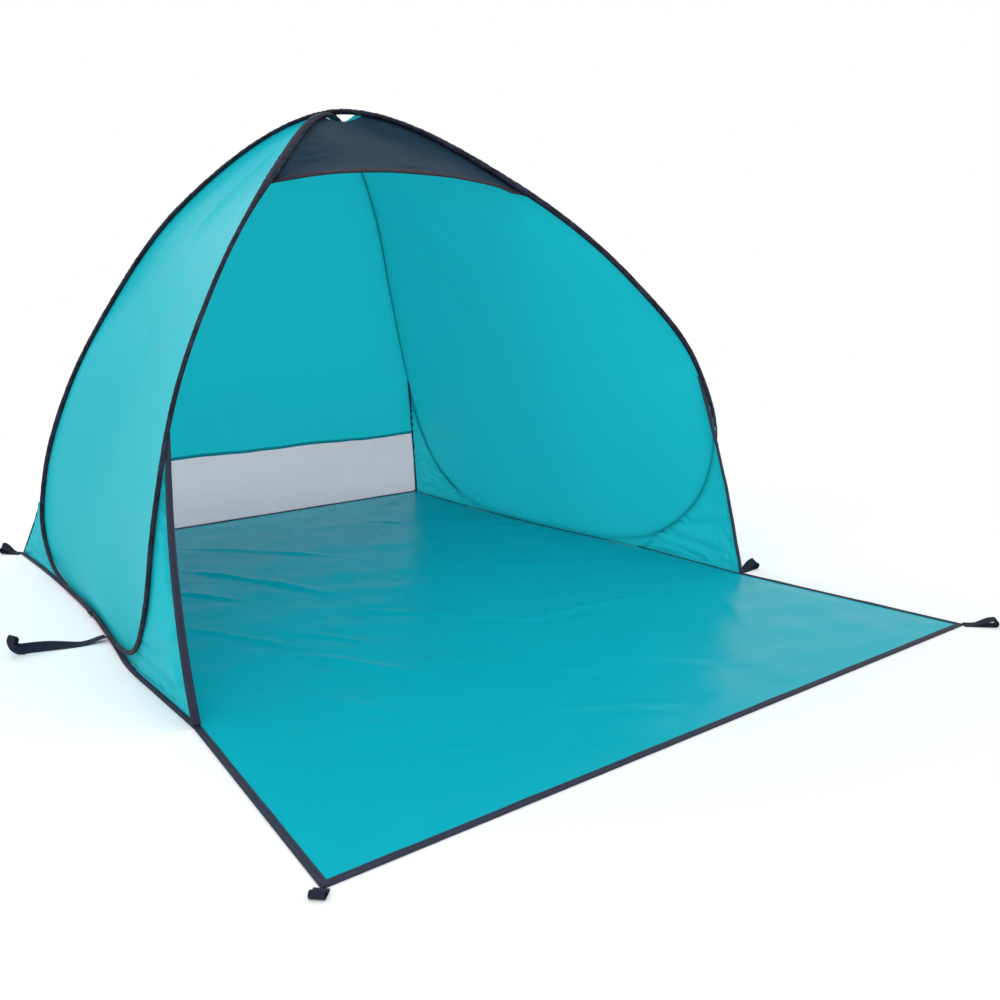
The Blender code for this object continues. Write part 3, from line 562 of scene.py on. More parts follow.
def cloth_piece(name, nodes, net, calm, edges, finish="panel", slot="panel_cloth", thickness=0,
                body="tent", band=SEAM_SHADE_BAND):
    """A cloth from a net of points, declared as the sheet that it was before its creases.

    Band is how far the painted shade beside its sewn edges reaches in.
    """
    piece = mesh_object(name, net, grid_faces(*net.shape[:2]), finish, plane_places(calm),
                        seam_distances(calm, edges) * SEAM_SHADE_BAND / band)
    if thickness:
        shell = piece.modifiers.new("thickness", "SOLIDIFY")
        shell.thickness = thickness
        shell.offset = 0
        shell.use_even_offset = False
    seat(piece, slot, body, *nodes)
    width, length, area = flat_cut(calm)
    return piece


class Socket:
    """A number in a material, which Python's operators turn into Math nodes."""

    def __init__(self, finish, socket):
        self.finish = finish
        self.socket = socket

    def math(self, operation, *values):
        return self.finish.node("ShaderNodeMath", {"operation": operation}, dict(enumerate(values)))

    def __add__(self, other):
        return self.math("ADD", self, other)

    def __radd__(self, other):
        return self.math("ADD", other, self)

    def __sub__(self, other):
        return self.math("SUBTRACT", self, other)

    def __rsub__(self, other):
        return self.math("SUBTRACT", other, self)

    def __mul__(self, other):
        return self.math("MULTIPLY", self, other)

    def __rmul__(self, other):
        return self.math("MULTIPLY", other, self)

    def __abs__(self):
        return self.math("ABSOLUTE", self)

    def sine(self):
        return self.math("SINE", self)

    def between(self, low, high):
        """Nought at low, one at high, and smooth between them."""
        return self.finish.node("ShaderNodeMapRange", {"interpolation_type": "SMOOTHSTEP"},
                                {"Value": self, "From Min": low, "From Max": high})


class Finish:
    """One procedural material: its Principled shader and the method that adds every other node."""

    def __init__(self, name, constants):
        self.material = bpy.data.materials.new(name)
        self.material.use_nodes = True
        self.tree = self.material.node_tree
        self.shader = self.tree.nodes["Principled BSDF"]
        for socket, value in constants.items():
            self.shader.inputs[socket].default_value = value

    def node(self, kind, settings=None, values=None, output=0):
        """One output of a new node, whose settings are made first and whose sockets are filled after."""
        node = self.tree.nodes.new(kind)
        for key, value in (settings or {}).items():
            setattr(node, key, value)
        for key, value in (values or {}).items():
            self.feed(node.inputs[key], value)
        return Socket(self, node.outputs[output])

    def feed(self, socket, value):
        if isinstance(value, Socket):
            self.tree.links.new(value.socket, socket)
        elif socket.type == "RGBA" and len(value) == 3:
            socket.default_value = (*value, 1.0)
        else:
            socket.default_value = value

    def mix(self, share, first, second):
        """A colour between two colours."""
        return self.node("ShaderNodeMix", {"data_type": "RGBA"}, {0: share, 6: first, 7: second}, output=2)

    def shade(self, colour, brightness):
        """A colour made lighter or darker by a number round one."""
        return self.node("ShaderNodeMix", {"data_type": "RGBA", "blend_type": "MULTIPLY"},
                         {0: 1.0, 6: colour, 7: self.grey(brightness)}, output=2)

    def grey(self, value):
        return self.node("ShaderNodeCombineColor", {}, {0: value, 1: value, 2: value})

    def weave_uv(self):
        """The two coordinates of the cloth in metres, along and across its grain."""
        place = self.node("ShaderNodeUVMap", {"uv_map": WEAVE_MAP})
        split = self.tree.nodes.new("ShaderNodeSeparateXYZ")
        self.tree.links.new(place.socket, split.inputs[0])
        return place, Socket(self, split.outputs[0]), Socket(self, split.outputs[1])

    def noise(self, vector, scale, detail=3.0, roughness=0.5, distortion=0.0):
        return self.node("ShaderNodeTexNoise", {}, {"Vector": vector, "Scale": scale, "Detail": detail,
                                                    "Roughness": roughness, "Distortion": distortion})

    def bump(self, height, distance, strength=1.0, below=None):
        values = {"Height": height, "Distance": distance, "Strength": strength}
        if below is not None:
            values["Normal"] = below
        return self.node("ShaderNodeBump", {}, values)

    def surface(self, **links):
        """Feeds the shader's varying sockets. An underscore in a name stands for a space."""
        for name, value in links.items():
            self.feed(self.shader.inputs[name.replace("_", " ")], value)
        return self.material

    def object_place(self):
        return self.node("ShaderNodeTexCoord", output=3)

    def mix_surface(self, share, other):
        """Mixes another shader into the Principled one by a share."""
        solid = Socket(self, self.shader.outputs[0])
        mixed = self.node("ShaderNodeMixShader", {}, {0: share, 1: solid, 2: other})
        self.feed(self.tree.nodes["Material Output"].inputs["Surface"], mixed)


def plain_weave(u, v, pitch):
    """Height of threads that pass over and under each other."""
    over = (u * (math.pi / pitch)).sine() * (v * (math.pi / pitch)).sine()
    return over * 0.5 + 0.5


def taffeta(name, colour, roughness, through, crinkle, shine):
    """Thin woven cloth that lets part of the light through, with painted shade in a strip beside its sewn
    edges.
    """
    sizes = bpy.context.scene.beach_tent_sizes
    finish = Finish(name, {"Roughness": roughness, "Specular IOR Level": shine})
    place, u, v = finish.weave_uv()
    seam = finish.node("ShaderNodeAttribute", {"attribute_name": SEAM_FIELD}, output=2)
    broad = finish.noise(place, 2.6, 3.0)
    slubs = finish.noise(place, 900.0, 1.0)
    # Painted shade: a darker strip beside each sewn edge, where the doubled cloth and the sleeve behind it let
    # less light through
    seam_shade = 1 - seam.between(0.0, SEAM_SHADE_BAND)
    base = finish.shade(colour, 0.94 + broad * 0.10 + slubs * 0.04 - seam_shade * 0.30)
    soft = finish.bump(finish.noise(place, 22.0, 4.0, 0.55, 1.2), crinkle)
    fine = finish.bump(plain_weave(u, v, sizes.weave_pitch), 0.00006, 0.6, below=soft)
    if through:
        finish.mix_surface(through, finish.node("ShaderNodeBsdfTranslucent", {}, {"Color": colour}))
    return finish.surface(Base_Color=base, Roughness=roughness + (broad - 0.5) * 0.12, Normal=fine)


def sleeve_finish(name, colour):
    """Dark ruched cloth with painted highlights in random lighter patches."""
    highlight_colour = list(bpy.context.scene.beach_tent_colours.sleeve_highlight)
    finish = Finish(name, {"Specular IOR Level": 0.2})
    place, u, v = finish.weave_uv()
    broad = finish.noise(place, 9.0, 3.0)
    patches = finish.noise(place, 38.0, 3.0)
    # Painted highlights: the lighter colour is mixed in over random patches
    base = finish.mix((broad * 0.4 + patches * 0.6).between(0.38, 0.66), colour, highlight_colour)
    threads = plain_weave(u, v, 0.0012)
    soft = finish.bump(finish.noise(place, 120.0, 3.0, 0.5, 0.8), 0.0008)
    fine = finish.bump(threads, 0.0001, 0.7, below=soft)
    # Painted shade: the threads are lighter on their crests and darker between them
    tint = finish.shade(base, 0.9 + threads * 0.2)
    return finish.surface(Base_Color=tint, Roughness=0.62 + broad * 0.2, Normal=fine)


def ribbed_finish(name, colour, pitch, roughness, depth):
    """Tape or webbing with ribs across and a fine twill along them, with painted shade between the ribs."""
    finish = Finish(name, {"Specular IOR Level": 0.2})
    place, u, v = finish.weave_uv()
    ribs = abs((u * (math.pi / pitch)).sine())
    twill = ((u + v) * (2 * math.pi / pitch)).sine() * 0.5 + 0.5
    broad = finish.noise(place, 14.0, 3.0)
    height = ribs * 0.7 + twill * 0.3
    # Painted shade: the grooves between the ribs are darker and their crests lighter; the broad noise is
    # random tone
    tint = finish.shade(colour, 0.82 + height * 0.22 + broad * 0.14)
    fine = finish.bump(height, depth)
    return finish.surface(Base_Color=tint, Roughness=roughness + broad * 0.1, Normal=fine)


def thread_finish(name, colour):
    """Twisted sewing thread."""
    finish = Finish(name, {"Sheen Weight": 0.3})
    twist = finish.noise(finish.object_place(), 900.0, 1.0)
    return finish.surface(Base_Color=finish.shade(colour, 0.8 + twist * 0.4), Roughness=0.55 + twist * 0.2)


def net_finish(name, colour):
    """Fine knitted net: threads with open holes between them."""
    pitch = bpy.context.scene.beach_tent_sizes.net_pitch
    finish = Finish(name, {})
    place, u, v = finish.weave_uv()
    across, along = (abs((way * (math.pi / pitch)).sine()).between(0.35, 0.55) for way in (u, v))
    broad = finish.noise(place, 6.0, 2.0)
    return finish.surface(Base_Color=finish.shade(colour, 0.9 + broad * 0.2), Roughness=0.6 + broad * 0.1,
                          Alpha=1 - across * along * 0.75)


def metal_finish(name, colour, roughness, drawn):
    """Drawn or pressed metal with fine marks."""
    finish = Finish(name, {"Metallic": 1.0})
    marks = finish.noise(finish.object_place(), drawn, 2.0)
    tint = finish.shade(colour, 0.85 + marks * 0.3)
    fine = finish.bump(marks, 0.00005)
    return finish.surface(Base_Color=tint, Roughness=roughness + marks * 0.15, Normal=fine)


# By the name of its colour: what makes each finish, its label and the values that it takes after the colour
FINISHES = {
    "panel": (taffeta, "panel taffeta", 0.5, 0.34, 0.0009, 0.18),
    "floor": (taffeta, "coated floor cloth", 0.28, 0.0, 0.0002, 0.07),
    "eave": (taffeta, "dark taffeta", 0.55, 0.08, 0.0009, 0.06),
    "hem": (taffeta, "folded hem", 0.55, 0.2, 0.0009, 0.3),
    "tape": (ribbed_finish, "ribbed binding tape", 0.0018, 0.6, 0.00025),
    "eave_tape": (ribbed_finish, "ribbed eave tape", 0.0018, 0.6, 0.00025),
    "webbing": (ribbed_finish, "woven webbing", 0.0026, 0.7, 0.0004),
    "net": (net_finish, "window net"),
    "sleeve": (sleeve_finish, "ruched sleeve cloth"),
    "thread": (thread_finish, "sewing thread"),
    "steel": (metal_finish, "drawn spring steel", 0.28, 400.0),
    "crimp": (metal_finish, "pressed ferrule", 0.33, 260.0),
}
MADE = {}


def finish_named(name):
    if name not in MADE:
        maker, label, *values = FINISHES[name]
        MADE[name] = maker(label, list(getattr(bpy.context.scene.beach_tent_colours, name)), *values)
    return MADE[name]


def read_rows(where, places, rows):
    """Rows of numbers read between the places that they belong to."""
    return np.stack([np.interp(where, places, column) for column in np.asarray(rows, float).T], axis=1)


def weave_over(along, around):
    """The weave's places on a tube, from distances along it and round it."""
    return np.stack(np.broadcast_arrays(along[:, None], around[None]), axis=-1)


def ring_tube(name, outer, finish, weave, inner=None):
    """A lofted tube from rings, with a bore or with closed ends."""
    rows, sides = outer.shape[:2]
    faces = grid_faces(rows, sides, wrap=True).tolist()
    points = outer.reshape(-1, 3)
    if inner is None:
        faces += [list(range(sides))[::-1], [(rows - 1) * sides + side for side in range(sides)]]
    else:
        base = rows * sides
        faces += (grid_faces(len(inner), sides, wrap=True) + base)[:, ::-1].tolist()
        for outer_row, inner_row, flip in ((0, 0, False), (rows - 1, len(inner) - 1, True)):
            for side in range(sides):
                turn = (side + 1) % sides
                a, b = outer_row * sides + side, outer_row * sides + turn
                c, d = base + inner_row * sides + turn, base + inner_row * sides + side
                faces.append([a, b, c, d] if flip else [d, c, b, a])
        points = np.vstack([points, inner.reshape(-1, 3)])
        along = np.interp(np.linspace(0, 1, len(inner)), np.linspace(0, 1, rows), weave[:, 0, 0])
        bore_weave = weave_over(along, weave[0, :, 1])
        weave = np.vstack([weave.reshape(-1, 2), bore_weave.reshape(-1, 2)])
    return mesh_object(name, points, faces, finish, weave)


def sleeve_rings(leaf, first, last, sizes):
    """Rings of one sleeve, gathered on the wire: deep ruches near the crossing, shallow ones below."""
    rows = max(12, int(abs(last - first) * leaf.length / SLEEVE_STEP))
    shares = np.linspace(first, last, rows)
    out = leaf.outward(shares)
    over = np.cross(leaf.tangents(shares), out)
    turn = (2 * math.pi * np.arange(SLEEVE_SIDES) / SLEEVE_SIDES)[None, :]
    cosine, sine = np.cos(turn), np.sin(turn)
    depth = (sizes.ruche_low + (sizes.ruche - sizes.ruche_low) * leaf.fullness(shares))[:, None]
    distance = (shares * leaf.length)[:, None]
    draws = np.random.default_rng(sizes.seed + (leaf.side + 2) * 11 + int(first * 100))
    folds = np.zeros((rows, SLEEVE_SIDES))
    for count, pitch, weight in ((7, 0.031, 0.55), (5, -0.073, 0.45)):
        phase, drift = draws.uniform(0, 2 * math.pi, 2)
        wander = 1.3 * np.sin(distance / 0.052 + drift) + 0.9 * np.sin(distance / 0.023 + phase)
        folds += weight * np.sin(count * turn + 2 * math.pi * distance / pitch + phase + wander)
    bunched = 1 - smooth_step(np.minimum(shares, 1 - shares) * leaf.length, 0.03, 0.08)[:, None]
    folds += bunched * (0.5 + 0.7 * np.sin(2 * math.pi * distance / 0.0135 + 1.5 * np.sin(distance / 0.02)))
    radial = depth * (folds - 0.2) * (0.1 + 0.9 * smooth_step(cosine, -0.5, 0.1))
    height = np.where(cosine > 0, leaf.outer_height(shares)[:, None], leaf.inner_height(shares)[:, None])
    width = leaf.half_width(shares)[:, None]
    outer = leaf.at(shares)[:, None] + ((height + radial) * cosine)[..., None] * out[:, None]
    outer += ((width + radial) * sine)[..., None] * over[:, None]
    outer[..., 2] = np.maximum(outer[..., 2], TAPE_TOP + 0.0002)
    bore_shares = np.linspace(first, last, max(4, rows // BORE_EVERY))
    bore_out = leaf.outward(bore_shares)
    bore_over = np.cross(leaf.tangents(bore_shares), bore_out)
    bore = cosine[..., None] * bore_out[:, None] + sine[..., None] * bore_over[:, None]
    inner = leaf.at(bore_shares)[:, None] + SLEEVE_BORE * bore
    return outer, inner, weave_over(shares * leaf.length, turn[0] * SLEEVE_RADIUS)


class BEACH_TENT_OT_sleeves(bpy.types.Operator):
    """Make the six ruched sleeves along the wire"""
    bl_idname = "beach_tent.sleeves"
    bl_label = "Sleeves"

    def execute(self, context):
        sizes = context.scene.beach_tent_sizes
        ends = (0.0, REAR_TOUCH_SHARE, FRONT_TOUCH_SHARE, 1.0)
        for name, leaf in LEAVES.items():
            shift = SLEEVE_GAP / 2 / leaf.length
            for part, first, last in zip(("rear", "ground", "front"), ends, ends[1:]):
                outer, inner, weave = sleeve_rings(leaf, first + shift, last - shift, sizes)
                piece = ring_tube(f"{name}_{part}_sleeve_cloth", outer, "sleeve", weave, inner)
                seat(piece, "sleeve_cloth", "tent", f"{name}_{part}_sleeve")
        return {"FINISHED"}


def leaf_net(leaf):
    """The settled side panel, hung from the seam line round its leaf."""
    rear = leaf.seam(np.linspace(TIP_SHARE, REAR_TOUCH_SHARE, STRAND_ROWS))
    front = leaf.seam(np.linspace(1 - TIP_SHARE, FRONT_TOUCH_SHARE, STRAND_ROWS))
    foot = leaf.seam(np.linspace(REAR_TOUCH_SHARE, FRONT_TOUCH_SHARE, LEAF_COLUMNS))
    return settle(stretch(rear, front, LEAF_COLUMNS, foot))


def shares_of(net):
    """Row and column shares of each point of a net, rows first."""
    rows, columns = net.shape[:2]
    return np.meshgrid(np.linspace(0, 1, rows), np.linspace(0, 1, columns), indexing="ij")


def held_in(net, reach):
    """Nought on the net's edges, one where it is free."""
    return smooth_step(seam_distances(net, ALL_EDGES), 0.0, reach)


def between_shares(places, ends):
    """The two places in a net at which a crease ends, given as shares down and across."""
    rows, columns = places.shape[0] - 1, places.shape[1] - 1
    return [places[round(down * rows), round(across * columns)] for down, across in ends]


def creases_in(places, table, growth, skirt=0.5):
    """All of a table's creases together, with their heights times a growth."""
    return sum(crease(places, *between_shares(places, ends), width, growth * height, skirt=skirt)
               for *ends, width, height in table)


def pushed_out(calm, shift):
    """The cloth moved along its own normals."""
    return calm + normals_of(calm) * shift[..., None]


# Soft ridges in a side panel: ends as shares down it and across it from the rear, then width and height
PANEL_RIDGE_SHARES = (
    ((0.05, 0.24), (0.25, 0.17), 0.030, 0.0050),
    ((0.16, 0.11), (0.56, 0.40), 0.042, 0.0062),
)


class BEACH_TENT_OT_side_panels(bpy.types.Operator):
    """Make the two leaf-shaped side panels"""
    bl_idname = "beach_tent.side_panels"
    bl_label = "Side panels"

    def execute(self, context):
        seed = context.scene.beach_tent_sizes.seed
        for name, leaf in LEAVES.items():
            calm = leaf_net(leaf)
            down, over = shares_of(calm)
            places = plane_places(calm)
            soft = 0.0035 * ripples(places, (0.35, 0.9), 9, seed + leaf.side)
            drawn = ripples(np.stack([over * 1.1, down * 0.15], -1), (0.09, 0.2), 10, seed + 3)
            gathers = 0.0016 * drawn * rise_and_fall(down, 0.04, 0.12, 0.2, 0.45)
            ridges = creases_in(places, PANEL_RIDGE_SHARES, leaf.side, skirt=0.2)
            net = pushed_out(calm, (soft + gathers + ridges) * held_in(calm, 0.05))
            cloth_piece(f"{name}_side_cloth", [f"{name}_side_panel"], net, calm, ALL_EDGES,
                        band=0.004)
        return {"FINISHED"}


def rear_net():
    """The rear of the tent from the crossing to the floor, settled as far down as its hem."""
    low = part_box("window_hem")[0].z
    high = low + HEM_HEIGHT
    rails = []
    for name, leaf in LEAVES.items():
        leg = REAR_LEGS[name]
        strand = leaf.seam(np.linspace(TIP_SHARE, REAR_SPLIT_SHARE, REAR_STRAND_ROWS))
        levels = (leg.top[2], high, low, LEG_FOOT_HEIGHT)
        spans = zip(levels, levels[1:], (REAR_LEG_ROWS, HEM_ROWS, WINDOW_ROWS))
        heights = np.hstack([np.linspace(start, end, rows + 1)[1:] for start, end, rows in spans])
        inward = np.array([-leaf.side * 0.002, -0.001, 0.0])
        rails.append(np.vstack([strand, [leg.level(height) + inward for height in heights]]))
    net = stretch(*rails, REAR_COLUMNS)
    settle(net[:HEM_ROW + 1])
    return net


class BEACH_TENT_OT_rear(bpy.types.Operator):
    """Make the rear panel, the hem over its window and the window net"""
    bl_idname = "beach_tent.rear"
    bl_label = "Rear panel and window"

    def execute(self, context):
        sizes = context.scene.beach_tent_sizes
        calm = rear_net()
        down, over = shares_of(calm)
        height = calm[..., 2]
        from_hem = np.abs(height - calm[HEM_ROW, 0, 2])
        pleats = ripples(np.stack([calm[..., 0], height * 0.12], -1), (0.07, 0.16), 12, sizes.seed + 21)
        swell = ripples(calm[..., [0, 2]], (0.3, 0.8), 8, sizes.seed + 22)
        near_hem = np.exp(-from_hem / 0.12) * (0.25 + 0.75 * smooth_step(from_hem, 0.004, 0.05))
        shift = 0.0042 * pleats * near_hem + 0.004 * swell * smooth_step(down, 0.0, 0.2)
        shift *= rise_and_fall(over, 0.0, 0.08, 0.92, 1.0) * smooth_step(height, 0.003, 0.12)
        net = pushed_out(calm, shift)
        panel, hem, window = slice(HEM_ROW + 1), slice(HEM_ROW, WINDOW_ROW + 1), slice(WINDOW_ROW, None)
        cloth_piece("rear_cloth", ["rear_panel"], net[panel], calm[panel], SIDE_EDGES,
                    band=0.005)
        cloth_piece("folded_window_hem", ["window_hem"], net[hem], calm[hem], SIDE_EDGES,
                    "hem", "hem_cloth", sizes.hem)
        cloth_piece("window_net", ["mesh_window"], net[window], calm[window], SIDE_EDGES,
                    "net", "window_net")
        return {"FINISHED"}


def eave_net():
    """The eave, settled between the front strands, with its lower edge arched and its upper one slack."""
    shares = np.linspace(EAVE_TOP_SHARE, EAVE_SHARE, EAVE_ROWS)
    left, right = LEAVES["left"].seam(shares), LEAVES["right"].seam(shares)
    arch = np.linspace(0, 1, EAVE_COLUMNS)[:, None]
    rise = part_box("eave_binding")[1].z - left[-1, 2]
    foot = left[-1] * (1 - arch) + right[-1] * arch
    foot[:, 2:] += rise * 4 * arch * (1 - arch)
    net = stretch(left, right, EAVE_COLUMNS, foot)
    net[0, :, 2:] -= EAVE_VENT_SAG * 4 * arch * (1 - arch)
    return settle(net)


def stitched_row(line, outward, lift, shift=0.0):
    """A row of stitches along a line, each a short lozenge that stands a little proud."""
    sizes = bpy.context.scene.beach_tent_sizes
    travelled = travelled_along(line)
    count = max(1, int(travelled[-1] / (sizes.stitch + sizes.stitch_gap)))
    starts = (np.arange(count) + 0.5) * travelled[-1] / count
    ahead = unit(read_along(line, starts + 0.001) - read_along(line, starts - 0.001))
    normal = square_to(read_rows(starts, travelled, np.broadcast_to(outward, line.shape)), ahead)
    aside = np.cross(ahead, normal)
    middles = read_along(line, starts) + normal * lift + aside * shift
    half, thick = sizes.stitch / 2, 0.00045
    shape = [(-1, 0, 0.1), (0, -1, 0.35), (1, 0, 0.1), (0, 1, 0.35), (0, 0, 1.0), (0, 0, -1.0)]
    points = np.stack([middles + half * a * ahead + thick * (b * aside + c * normal) for a, b, c in shape], 1)
    upper = [(place, (place + 1) % 4, 4) for place in range(4)]
    lower = [(second, first, 5) for first, second, _ in upper]
    faces = (np.arange(count)[:, None, None] * len(shape) + np.array(upper + lower)).reshape(-1, 3)
    return points.reshape(-1, 3), faces


def stitches(name, rows, body, slot):
    """One object of several rows of stitches."""
    points, faces, base = [], [], 0
    for row_points, row_faces in rows:
        points.append(row_points)
        faces.append(row_faces + base)
        base += len(row_points)
    seat(mesh_object(name, np.vstack(points), np.vstack(faces), "thread"), slot, body)


# Creases in the eave: ends as shares down it and across it from the left, then width and height
EAVE_CREASE_SHARES = (
    ((0.96, 0.005), (0.90, 0.10), 0.0035, 0.0016),
    ((0.91, 0.005), (0.82, 0.15), 0.0040, 0.0020),
    ((0.85, 0.005), (0.72, 0.20), 0.0050, 0.0022),
    ((0.78, 0.005), (0.62, 0.18), 0.0045, 0.0016),
    ((0.97, 0.995), (0.86, 0.80), 0.0050, 0.0022),
    ((0.90, 0.995), (0.74, 0.84), 0.0045, 0.0020),
    ((0.80, 0.995), (0.58, 0.80), 0.0060, 0.0024),
)


class BEACH_TENT_OT_eave(bpy.types.Operator):
    """Make the dark eave over the doorway and the tape along its edge"""
    bl_idname = "beach_tent.eave"
    bl_label = "Eave"

    def execute(self, context):
        seed = context.scene.beach_tent_sizes.seed
        calm = eave_net()
        down, over = shares_of(calm)
        places = plane_places(calm)
        ends = np.exp(-over / 0.12) + np.exp(-(1 - over) / 0.16)
        gathers = ripples(np.stack([down * 0.25, over * 0.12], -1), (0.018, 0.035), 9, seed + 31)
        soft = ripples(places, (0.15, 0.4), 7, seed + 32)
        loose = (0.0010 * gathers * ends + 0.0025 * soft) * held_in(calm, 0.03)
        net = pushed_out(calm, loose + creases_in(places, EAVE_CREASE_SHARES, 1.5) * held_in(calm, 0.006))
        cloth_piece("front_eave_cloth", ["front_eave"], net, calm, SIDE_EDGES,
                    "eave", "eave_cloth")
        edge, facing, width = net[-1], normals_of(calm)[-1], EAVE_TAPE_WIDTH
        down_edge = unit(edge - net[-2])
        front = [(-0.004, 0.0006), (-0.004, 0.0014), (width * 0.5, 0.0017), (width - 0.001, 0.0013)]
        profile = [*front, (width, 0.0), *((across, -out) for across, out in reversed(front))]
        rings = np.stack([edge + down_edge * a + facing * b for a, b in profile], axis=1)
        weave = weave_over(travelled_along(edge), np.array([a for a, _ in profile]))
        seat(ring_tube("eave_edge_tape", rings, "eave_tape", weave), "binding_tape", "tent", "eave_binding")
        rows = [stitched_row(edge + down_edge * depth, facing * face, 0.0016)
                for depth in (0.0010, width - 0.003) for face in (1, -1)]
        stitches("eave_stitches", rows, "tent", "binding_tape")
        return {"FINISHED"}


def gusset_net(leaf, leg, split, end, leg_share):
    """The corner cloth between a strand's seam, the leg beside it and the edge of the floor."""
    spans = (FRONT_TOUCH_SHARE, 1 - TIP_SHARE) if split > 0.5 else (TIP_SHARE, REAR_TOUCH_SHARE)
    knots = np.linspace(*spans, STRAND_ROWS)
    strand = read_rows(np.linspace(split, end, GUSSET_ROWS), knots, leaf.seam(knots))
    on_leg = int(round((GUSSET_ROWS - 1) * leg_share)) + 1
    down = leg.at(np.linspace(0, 1, on_leg))
    y = np.linspace(leg.foot[1], leaf.at([end])[0][1], GUSSET_ROWS - on_leg + 1)[1:]
    x = edge_x(leaf.side, y) - leaf.side * GUSSET_INSET
    floor = np.stack([x, y, np.full(len(y), LEG_FOOT_HEIGHT)], axis=-1)
    return stretch(strand, np.vstack([down, floor]), GUSSET_COLUMNS)


# Creases in a gusset: ends as shares down it and across it to the leg, then width and height
GUSSET_CREASE_SHARES = (
    ((0.97, 0.20), (0.70, 0.95), 0.007, 0.0032),
    ((0.92, 0.12), (0.66, 0.93), 0.008, 0.0030),
    ((0.86, 0.06), (0.60, 0.88), 0.010, 0.0034),
    ((0.78, 0.05), (0.50, 0.80), 0.012, 0.0030),
    ((0.99, 0.45), (0.80, 0.96), 0.006, 0.0024),
    ((0.64, 0.98), (0.72, 0.50), 0.007, 0.0026),
    ((0.60, 0.97), (0.56, 0.55), 0.008, 0.0030),
    ((0.52, 0.97), (0.60, 0.72), 0.006, 0.0026),
    ((0.44, 0.96), (0.50, 0.66), 0.006, 0.0030),
    ((0.36, 0.96), (0.34, 0.60), 0.006, 0.0028),
    ((0.28, 0.95), (0.34, 0.55), 0.005, 0.0024),
    ((0.13, 0.05), (0.12, 0.98), 0.004, 0.0026),
    ((0.17, 0.98), (0.18, 0.05), 0.004, 0.0030),
    ((0.21, 0.05), (0.19, 0.98), 0.005, 0.0034),
    ((0.24, 0.98), (0.26, 0.25), 0.006, 0.0036),
    ((0.29, 0.98), (0.29, 0.45), 0.006, 0.0030),
    ((0.33, 0.98), (0.38, 0.50), 0.006, 0.0028),
    ((0.60, 0.94), (0.52, 0.78), 0.005, 0.0026),
    ((0.65, 0.95), (0.62, 0.72), 0.005, 0.0028),
    ((0.68, 0.95), (0.72, 0.68), 0.006, 0.0028),
    ((0.73, 0.93), (0.84, 0.50), 0.006, 0.0026),
    ((0.86, 0.02), (0.84, 0.30), 0.005, 0.0026),
    ((0.90, 0.03), (0.885, 0.40), 0.005, 0.0026),
    ((0.94, 0.05), (0.89, 0.60), 0.005, 0.0024),
    ((0.70, 0.01), (0.69, 0.16), 0.004, 0.0022),
    ((0.75, 0.01), (0.73, 0.20), 0.004, 0.0024),
    ((0.82, 0.01), (0.79, 0.22), 0.004, 0.0022),
)


class BEACH_TENT_OT_gussets(bpy.types.Operator):
    """Make the four corner gussets, with the folds that fan out from where they are gathered"""
    bl_idname = "beach_tent.gussets"
    bl_label = "Gussets"

    def execute(self, context):
        corners = (("front", FRONT_LEGS, FRONT_SPLIT_SHARE, FRONT_GUSSET_END_SHARE, FRONT_LEG_SHARE),
                   ("rear", REAR_LEGS, REAR_SPLIT_SHARE, REAR_GUSSET_END_SHARE, REAR_LEG_SHARE))
        for name, leaf in LEAVES.items():
            for place, legs, split, end, leg_share in corners:
                calm = gusset_net(leaf, legs[name], split, end, leg_share)
                down, over = shares_of(calm)
                free, near = held_in(calm, 0.03), held_in(calm, 0.007)
                seed = context.scene.beach_tent_sizes.seed + 41 + leaf.side * 3 + len(place)
                places = plane_places(calm)
                crumple = ripples(places, (0.035, 0.12), 14, seed + 1)
                by_leg = np.exp(-((over - 0.85) / 0.16) ** 2) * np.exp(-((down - 0.35) / 0.25) ** 2)
                pucker = ripples(places, (0.014, 0.035), 10, seed + 2)
                by_top = np.exp(-((over - 0.94) / 0.14) ** 2) * np.exp(-((down - 0.20) / 0.16) ** 2)
                tight = 0.0012 * pucker * by_top + creases_in(places, GUSSET_CREASE_SHARES, 1.7)
                net = pushed_out(calm, crumple * (0.0022 * by_leg + 0.0006) * free + tight * near)
                net[..., 2] = np.maximum(net[..., 2], LEG_FOOT_HEIGHT - 0.0004)
                # The gusset's wide band is painted shade beside the strand's seam
                cloth_piece(f"{name}_{place}_gusset_cloth", [f"{name}_{place}_gusset"], net, calm, ("start",),
                            band=0.024)
        return {"FINISHED"}


# How wide each side's leg tapes are drawn, as a share of their width at places down the leg in metres
LEG_SPREADS = {
    -1: ((0.0, 0.4), (0.05, 0.62), (0.12, 0.75), (0.5, 1.0)),
    1: ((0.0, 1.0), (0.13, 1.05), (0.22, 0.6), (0.5, 0.8)),
}


